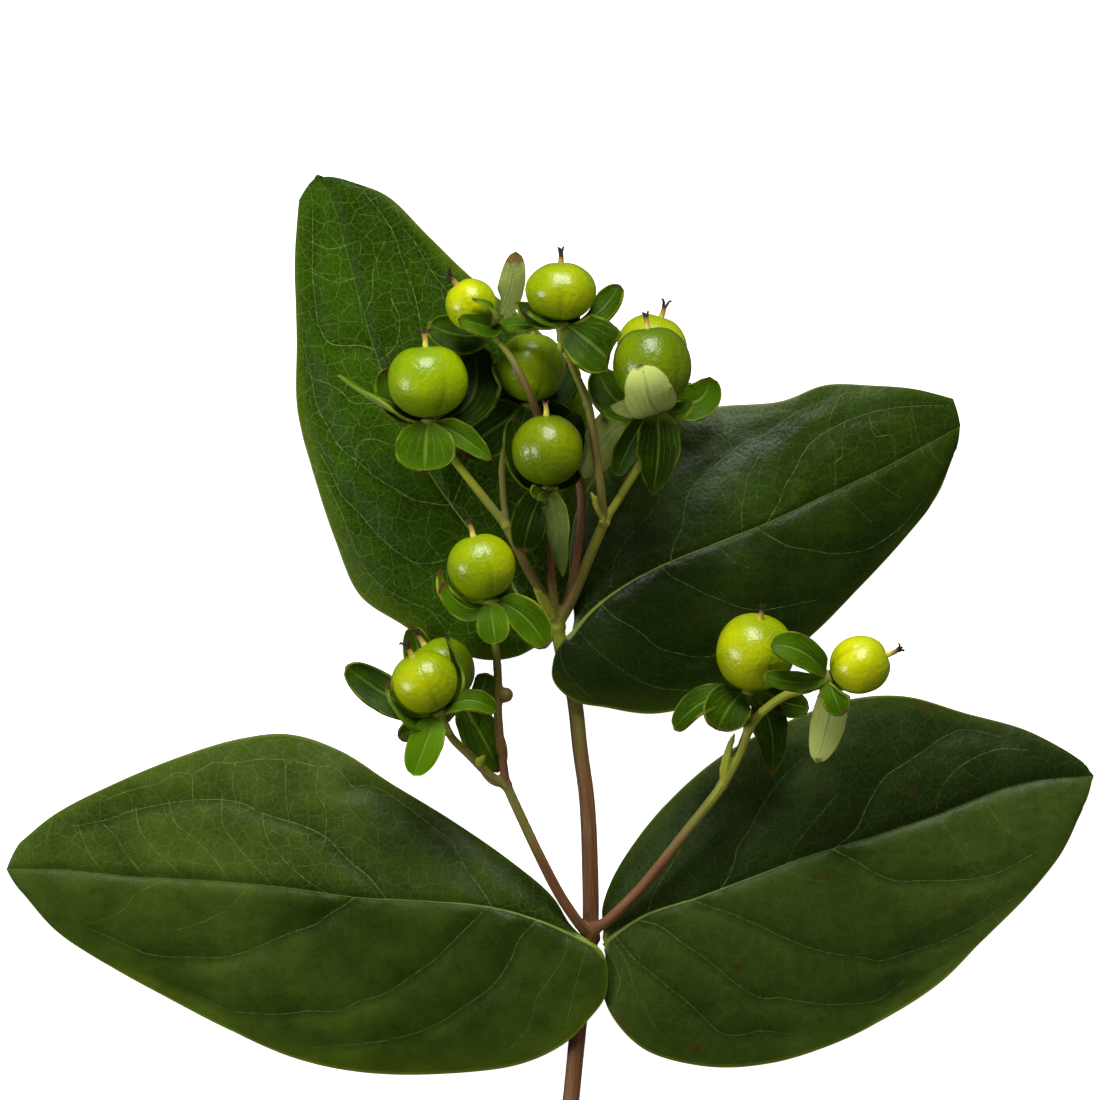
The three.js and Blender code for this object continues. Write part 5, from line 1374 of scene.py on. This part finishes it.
def styles_piece(number, berry):
    """A pale stalk on the berry's top that parts into three dark hairs."""
    put = onto_berry(berry)
    share, apart, curl, brown = STYLE_ENDS[number - 1]
    top = berry[3]
    start = top + CUP_GAP + STYLE_STALK
    stalk = [(0, 0, top - 0.35), (0.04, 0, top + 0.5), (0, 0, start + 0.05)]
    tubes = [(stalk, *STALK_ENDS)]
    for angle, length_share in HAIRS:
        height = STYLE_LENGTH * share * length_share
        lean = [(0.10, -0.30), (HAIR_OUT + apart * 0.35, height * 0.4),
                (HAIR_OUT + apart * 0.7, height * 0.8), (HAIR_OUT + apart + curl * 0.15, height),
                (HAIR_OUT + apart + curl * 0.45, height - curl * 0.22)]
        tubes.append(([around(angle, out, start + up) for out, up in lean], *HAIR_ENDS))
    pieces = []
    for n, (route, thick, thin, low, high) in enumerate(tubes):
        piece, shares = tube_piece(f"style_{number}_{n}", through(route), thick, thin, STYLE_RINGS,
                                   STYLE_SIDES, put)
        store(piece, "rise", [brown + low + (high - low) * v for v in shares])
        pieces.append(piece)
    whole = join(pieces, f"style_tuft_{number:02d}")
    whole.data.materials.append(style_material())
    smooth(whole, SHEET_CREASE)
    finish_piece(whole, "style", f"styles_{number:02d}")


def style_material():
    name = "style_dry"
    if name in bpy.data.materials:
        return bpy.data.materials[name]
    n = Nodes(name)
    place = n.place()
    rise = n.plus(n.attribute("rise"), n.swing(n.noise(place, STYLE_PATCH, 2), 0.3))
    body = n.mix(n.ramp(rise, 0.05, 0.32), STRAW, TAN)
    body = n.mix(n.ramp(rise, 0.30, 0.52), body, DRY_BLACK)
    n.set(Base_Color=body, Roughness=0.6, Normal=n.bump(n.noise(place, STYLE_GRAIN, 3), STYLE_RELIEF, 0.7))
    return n.material


class PLANT_OT_styles(bpy.types.Operator):
    """Stand the dry styles on the berries: a pale stalk that parts into dark bent hairs"""
    bl_idname = "plant.styles"
    bl_label = "Styles"

    def execute(self, context):
        for number, berry in enumerate(BERRIES, 1):
            styles_piece(number, berry)
        return {"FINISHED"}


# ---------------------------------------------------------------- twig pieces, in millimetres
TWIG_SIDES = 18
TWIG_RINGS = 7  # for each point of a twig's route
GRAIN_STEPS = 24
SWELLING_SIDES = 24
SWELLING_RINGS = 16
BRACT_ACROSS = 10
BRACT_ALONG = 18
BRACT_THICKNESS = 0.6
BRACT_LENGTH = 6  # the length its grain is drawn for
BRACT_ROOT_STEPS = 4  # steps at its root that take the twig's grain
BRACT_SEED = 900
SOFTENING = 0.5
SOFTENING_ROUNDS = 6
GRAIN_RUN = 60
GRAIN_STEP = 3  # moves each twig to its own part of the noise
RIDGES = 2.6
RIDGE_RUN = 14
RIDGE_STEP = 5
RIDGE_HEIGHT = 0.07
RIDGE_LOWEST = 0.6  # bark lower than this stays smooth, so that it doesn't sink into the surface

# sizes of the bark's patterns: streaks and cracks in widths of the grain, the rest in metres
STREAK = 0.42
CRACK = 0.12
BARK_PATCH = 0.011
BARK_RELIEF = 0.0002

BARK_STRAW = (0.40, 0.34, 0.13)
BARK_CRACK = (0.07, 0.03, 0.012)


def share_at(values, t):
    """Reads evenly spaced values at share t of their length."""
    place = t * (len(values) - 1)
    i = min(int(place), len(values) - 2)
    return values[i] + (values[i + 1] - values[i]) * (place - i)


def twig_grain(n, redness, curve, steps):
    """Places along a twig: point, heading, length so far, redness and the twig's number."""
    grain = []
    run = 0
    last = curve(0)
    for i in range(steps + 1):
        t = i / steps
        p = curve(t)
        run += (p - last).length
        last = p
        grain.append((p, heading(curve, t), run, share_at(redness, t), n))
    return grain


def bract_grain(n, route):
    shares = [i / GRAIN_STEPS for i in range(BRACT_ROOT_STEPS, GRAIN_STEPS + 1)]
    return [(bezier(*route, share), bezier_way(*route, share), share * BRACT_LENGTH, BRACT_REDNESS, n)
            for share in shares]


def bract_piece(n, route, width, face):
    bract = sepal_piece(f"bract_{n}", route, width, face, POINTED, lambda p, _: p, BRACT_SEED + n, 0.5, 0.5,
                        BRACT_ACROSS, BRACT_ALONG)
    wall(bract, BRACT_THICKNESS * MM)
    apply_modifiers(bract)
    return bract


def swelling(n, point, radius):
    piece = ball(f"swelling_{n}", SWELLING_SIDES, SWELLING_RINGS, radius * MM, mm(point))
    bpy.ops.object.transform_apply(location=True, rotation=False, scale=False)
    return piece


def twigs_piece(settings):
    pieces = []
    grain = []
    for n, twig in enumerate(TWIGS):
        thick, thin, redness, _, _ = twig
        curve, count = twig_curve(twig)
        tube, _ = tube_piece(f"twig_{n}", curve, thick, thin, count * TWIG_RINGS, TWIG_SIDES, mm)
        pieces.append(tube)
        grain += twig_grain(n, redness, curve, count * GRAIN_STEPS)
    for n, (point, radius) in enumerate(SWELLINGS):
        pieces.append(swelling(n, point, radius))
    for n, (*points, width, face) in enumerate(BRACTS):
        route = [Vector(p) for p in points]
        pieces.append(bract_piece(n, route, width, face))
        grain += bract_grain(len(TWIGS) + n, route)
    whole = join(pieces, "woody_stem")
    remesh = whole.modifiers.new("One skin", "REMESH")
    remesh.mode = "VOXEL"
    remesh.voxel_size = settings.voxel
    soften = whole.modifiers.new("Soften", "SMOOTH")
    soften.iterations = SOFTENING_ROUNDS
    soften.factor = SOFTENING
    apply_modifiers(whole)
    raise_bark(whole, grain)
    whole.data.materials.clear()
    whole.data.materials.append(bark_material(settings))
    smooth(whole, ROUND_CREASE)
    finish_piece(whole, "stem", "stem")


def raise_bark(piece, grain):
    """Marks every point with its way round and along its twig and raises fine lengthwise ridges."""
    tree = search_tree([bead[0] for bead in grain])
    sides = {}
    marks, redness = [], []
    for vertex in piece.data.vertices:
        p = vertex.co / MM
        _, index, distance = tree.find(p)
        centre, way, run, red, twig = grain[index]
        if twig not in sides:
            sides[twig] = way.orthogonal().normalized()
        side = sides[twig]
        across = (side - way * side.dot(way)).normalized()
        over = way.cross(across)
        off = p - centre
        x, y = off.dot(across), off.dot(over)
        round_it = Vector((x, y, 0)).normalized() if x or y else Vector((1, 0, 0))
        marks += [round_it.x, round_it.y, run / GRAIN_RUN + twig * GRAIN_STEP]
        redness.append(red)
        where = (round_it.x * RIDGES, round_it.y * RIDGES, run / RIDGE_RUN + twig * RIDGE_STEP)
        ridge = noise.noise(Vector(where))
        if vertex.co.z > RIDGE_LOWEST * MM:
            vertex.co += (off.normalized() if distance > 0 else UP) * (ridge * RIDGE_HEIGHT * MM)
    store(piece, "grain", marks, "FLOAT_VECTOR")
    store(piece, "red", redness)


def bark_material(settings):
    n = Nodes("bark")
    grain = n.attribute("grain", "Vector")
    streaks = n.noise(grain, STREAK, 5, 0.62)
    fine = n.noise(grain, CRACK, 4, 0.6)
    patches = n.noise(n.place(), BARK_PATCH, 3)
    uneven = n.minus(n.plus(n.times(streaks, 0.6), n.times(patches, 0.6)), 0.6)
    share = n.plus(n.attribute("red"), n.times(uneven, 1.7))
    body = n.mix(n.ramp(share, -0.35, 0.25), settings.fresh, settings.olive)
    body = n.mix(n.ramp(share, 0.2, 0.85), body, settings.russet)
    body = n.mix(n.times(n.ramp(fine, 0.42, 0.66), 0.32), body, BARK_STRAW)
    body = n.mix(n.times(n.ramp(streaks, 0.62, 0.74), 0.5), body, BARK_CRACK)
    lines = n.plus(n.times(streaks, 0.7), n.times(fine, 0.5))
    n.set(Base_Color=body, Roughness=n.ramp(patches, 0.3, 0.7, 0.38, 0.55),
          Normal=n.bump(lines, BARK_RELIEF, 0.7), Specular_IOR_Level=0.4)
    return n.material


class PLANT_OT_twigs(bpy.types.Operator):
    """Join the stem, its branches, stalks, nodes and bracts into one skin with lengthwise ridges"""
    bl_idname = "plant.twigs"
    bl_label = "Twigs"

    def execute(self, context):
        twigs_piece(context.scene.twig_settings)
        return {"FINISHED"}


# ---------------------------------------------------------------- stage, in metres
AIM = (0, 0.03, 0.015)
# the way each soft box hangs from the aim, its distance, its sides, its watts, whether it glints on the skins
SOFT_BOXES = {
    "sky_box": ((0.0, 0.84, 0.54), 0.75, (0.40, 0.52), 6.5, True),
    "side_box": ((-0.87, -0.12, 0.47), 0.75, (0.22, 0.28), 2.1, True),
    "fill_box": ((0.75, -0.55, 0.75), 1.3, (0.6, 0.6), 1.9, False),
}
WORLD_GLOW = 0.06
FLOOR_SIZE = 6
FLOOR_CLOUD = 0.4
FLOOR_SHADING = 0.985
SENSOR_WIDTH = 36  # millimetres, like the lens


def soft_box(name, towards, distance, sides, watts, glints):
    deselect()
    way = Vector(towards).normalized()
    bpy.ops.object.light_add(type="AREA", location=Vector(AIM) + way * distance)
    light = added(name)
    light.data.shape = "RECTANGLE"
    light.data.size, light.data.size_y = sides
    light.data.energy = watts
    light.rotation_euler = (-way).to_track_quat("-Z", "Y").to_euler()
    light.visible_glossy = glints


def lay_floor(settings):
    deselect()
    bpy.ops.mesh.primitive_plane_add(size=FLOOR_SIZE)
    floor = added("floor")
    n = Nodes("floor_paper")
    shade = settings.floor_shade
    tint = n.mix(n.noise(n.place(), FLOOR_CLOUD, 2), [shade * FLOOR_SHADING] * 3, [shade] * 3)
    n.set(Base_Color=tint, Roughness=0.9, Specular_IOR_Level=0.1, Emission_Color=(1, 1, 1),
          Emission_Strength=settings.floor_glow)
    floor.data.materials.append(n.material)
    floor.visible_glossy = False
    floor.visible_diffuse = False


def set_world(scene):
    scene.world = bpy.data.worlds.new("studio")
    scene.world.use_nodes = True
    background = scene.world.node_tree.nodes["Background"]
    background.inputs["Color"].default_value = (1, 1, 1, 1)
    background.inputs["Strength"].default_value = WORLD_GLOW


def set_camera(scene, settings):
    deselect()
    bpy.ops.object.camera_add(location=(0, settings.view_middle, settings.camera_height), rotation=(0, 0, 0))
    camera = added("camera")
    camera.data.sensor_width = SENSOR_WIDTH
    camera.data.lens = SENSOR_WIDTH * settings.camera_height / settings.view_width
    scene.camera = camera
    scene.view_settings.view_transform = "Standard"


class PLANT_OT_stage(bpy.types.Operator):
    """Lay the pale floor, hang the soft boxes and set the camera straight above"""
    bl_idname = "plant.stage"
    bl_label = "Stage"

    def execute(self, context):
        settings = context.scene.studio_settings
        lay_floor(settings)
        for name, box in SOFT_BOXES.items():
            soft_box(name, *box)
        set_world(context.scene)
        set_camera(context.scene, settings)
        return {"FINISHED"}


class PLANT_PT_berry_stem(bpy.types.Panel):
    """Lists the steps that grow the stem"""
    bl_idname = "PLANT_PT_berry_stem"
    bl_label = "Hypericum berry stem"
    bl_space_type = "VIEW_3D"
    bl_region_type = "UI"
    bl_category = "Berry stem"

    def draw(self, context):
        for step in STEPS:
            self.layout.operator(step.bl_idname)
        for holder in SETTINGS:
            box = self.layout.box()
            settings = getattr(context.scene, holder)
            for key in settings.__annotations__:
                box.prop(settings, key)


STEPS = (PLANT_OT_stage, PLANT_OT_leaves, PLANT_OT_berries, PLANT_OT_calyces, PLANT_OT_styles, PLANT_OT_twigs)
SETTINGS = {"leaf_settings": LeafSettings, "berry_settings": BerrySettings, "sepal_settings": SepalSettings,
            "twig_settings": TwigSettings, "studio_settings": StudioSettings}


def register():
    for cls in (*SETTINGS.values(), *STEPS, PLANT_PT_berry_stem):
        bpy.utils.register_class(cls)
    for name, cls in SETTINGS.items():
        setattr(bpy.types.Scene, name, bpy.props.PointerProperty(type=cls))


def unregister():
    for name in SETTINGS:
        delattr(bpy.types.Scene, name)
    for cls in reversed((*SETTINGS.values(), *STEPS, PLANT_PT_berry_stem)):
        bpy.utils.unregister_class(cls)


def main():
    register()
    bpy.ops.plant.stage()
    bpy.ops.plant.leaves()
    bpy.ops.plant.berries()
    bpy.ops.plant.calyces()
    bpy.ops.plant.styles()
    bpy.ops.plant.twigs()


if __name__ == "__main__":
    main()
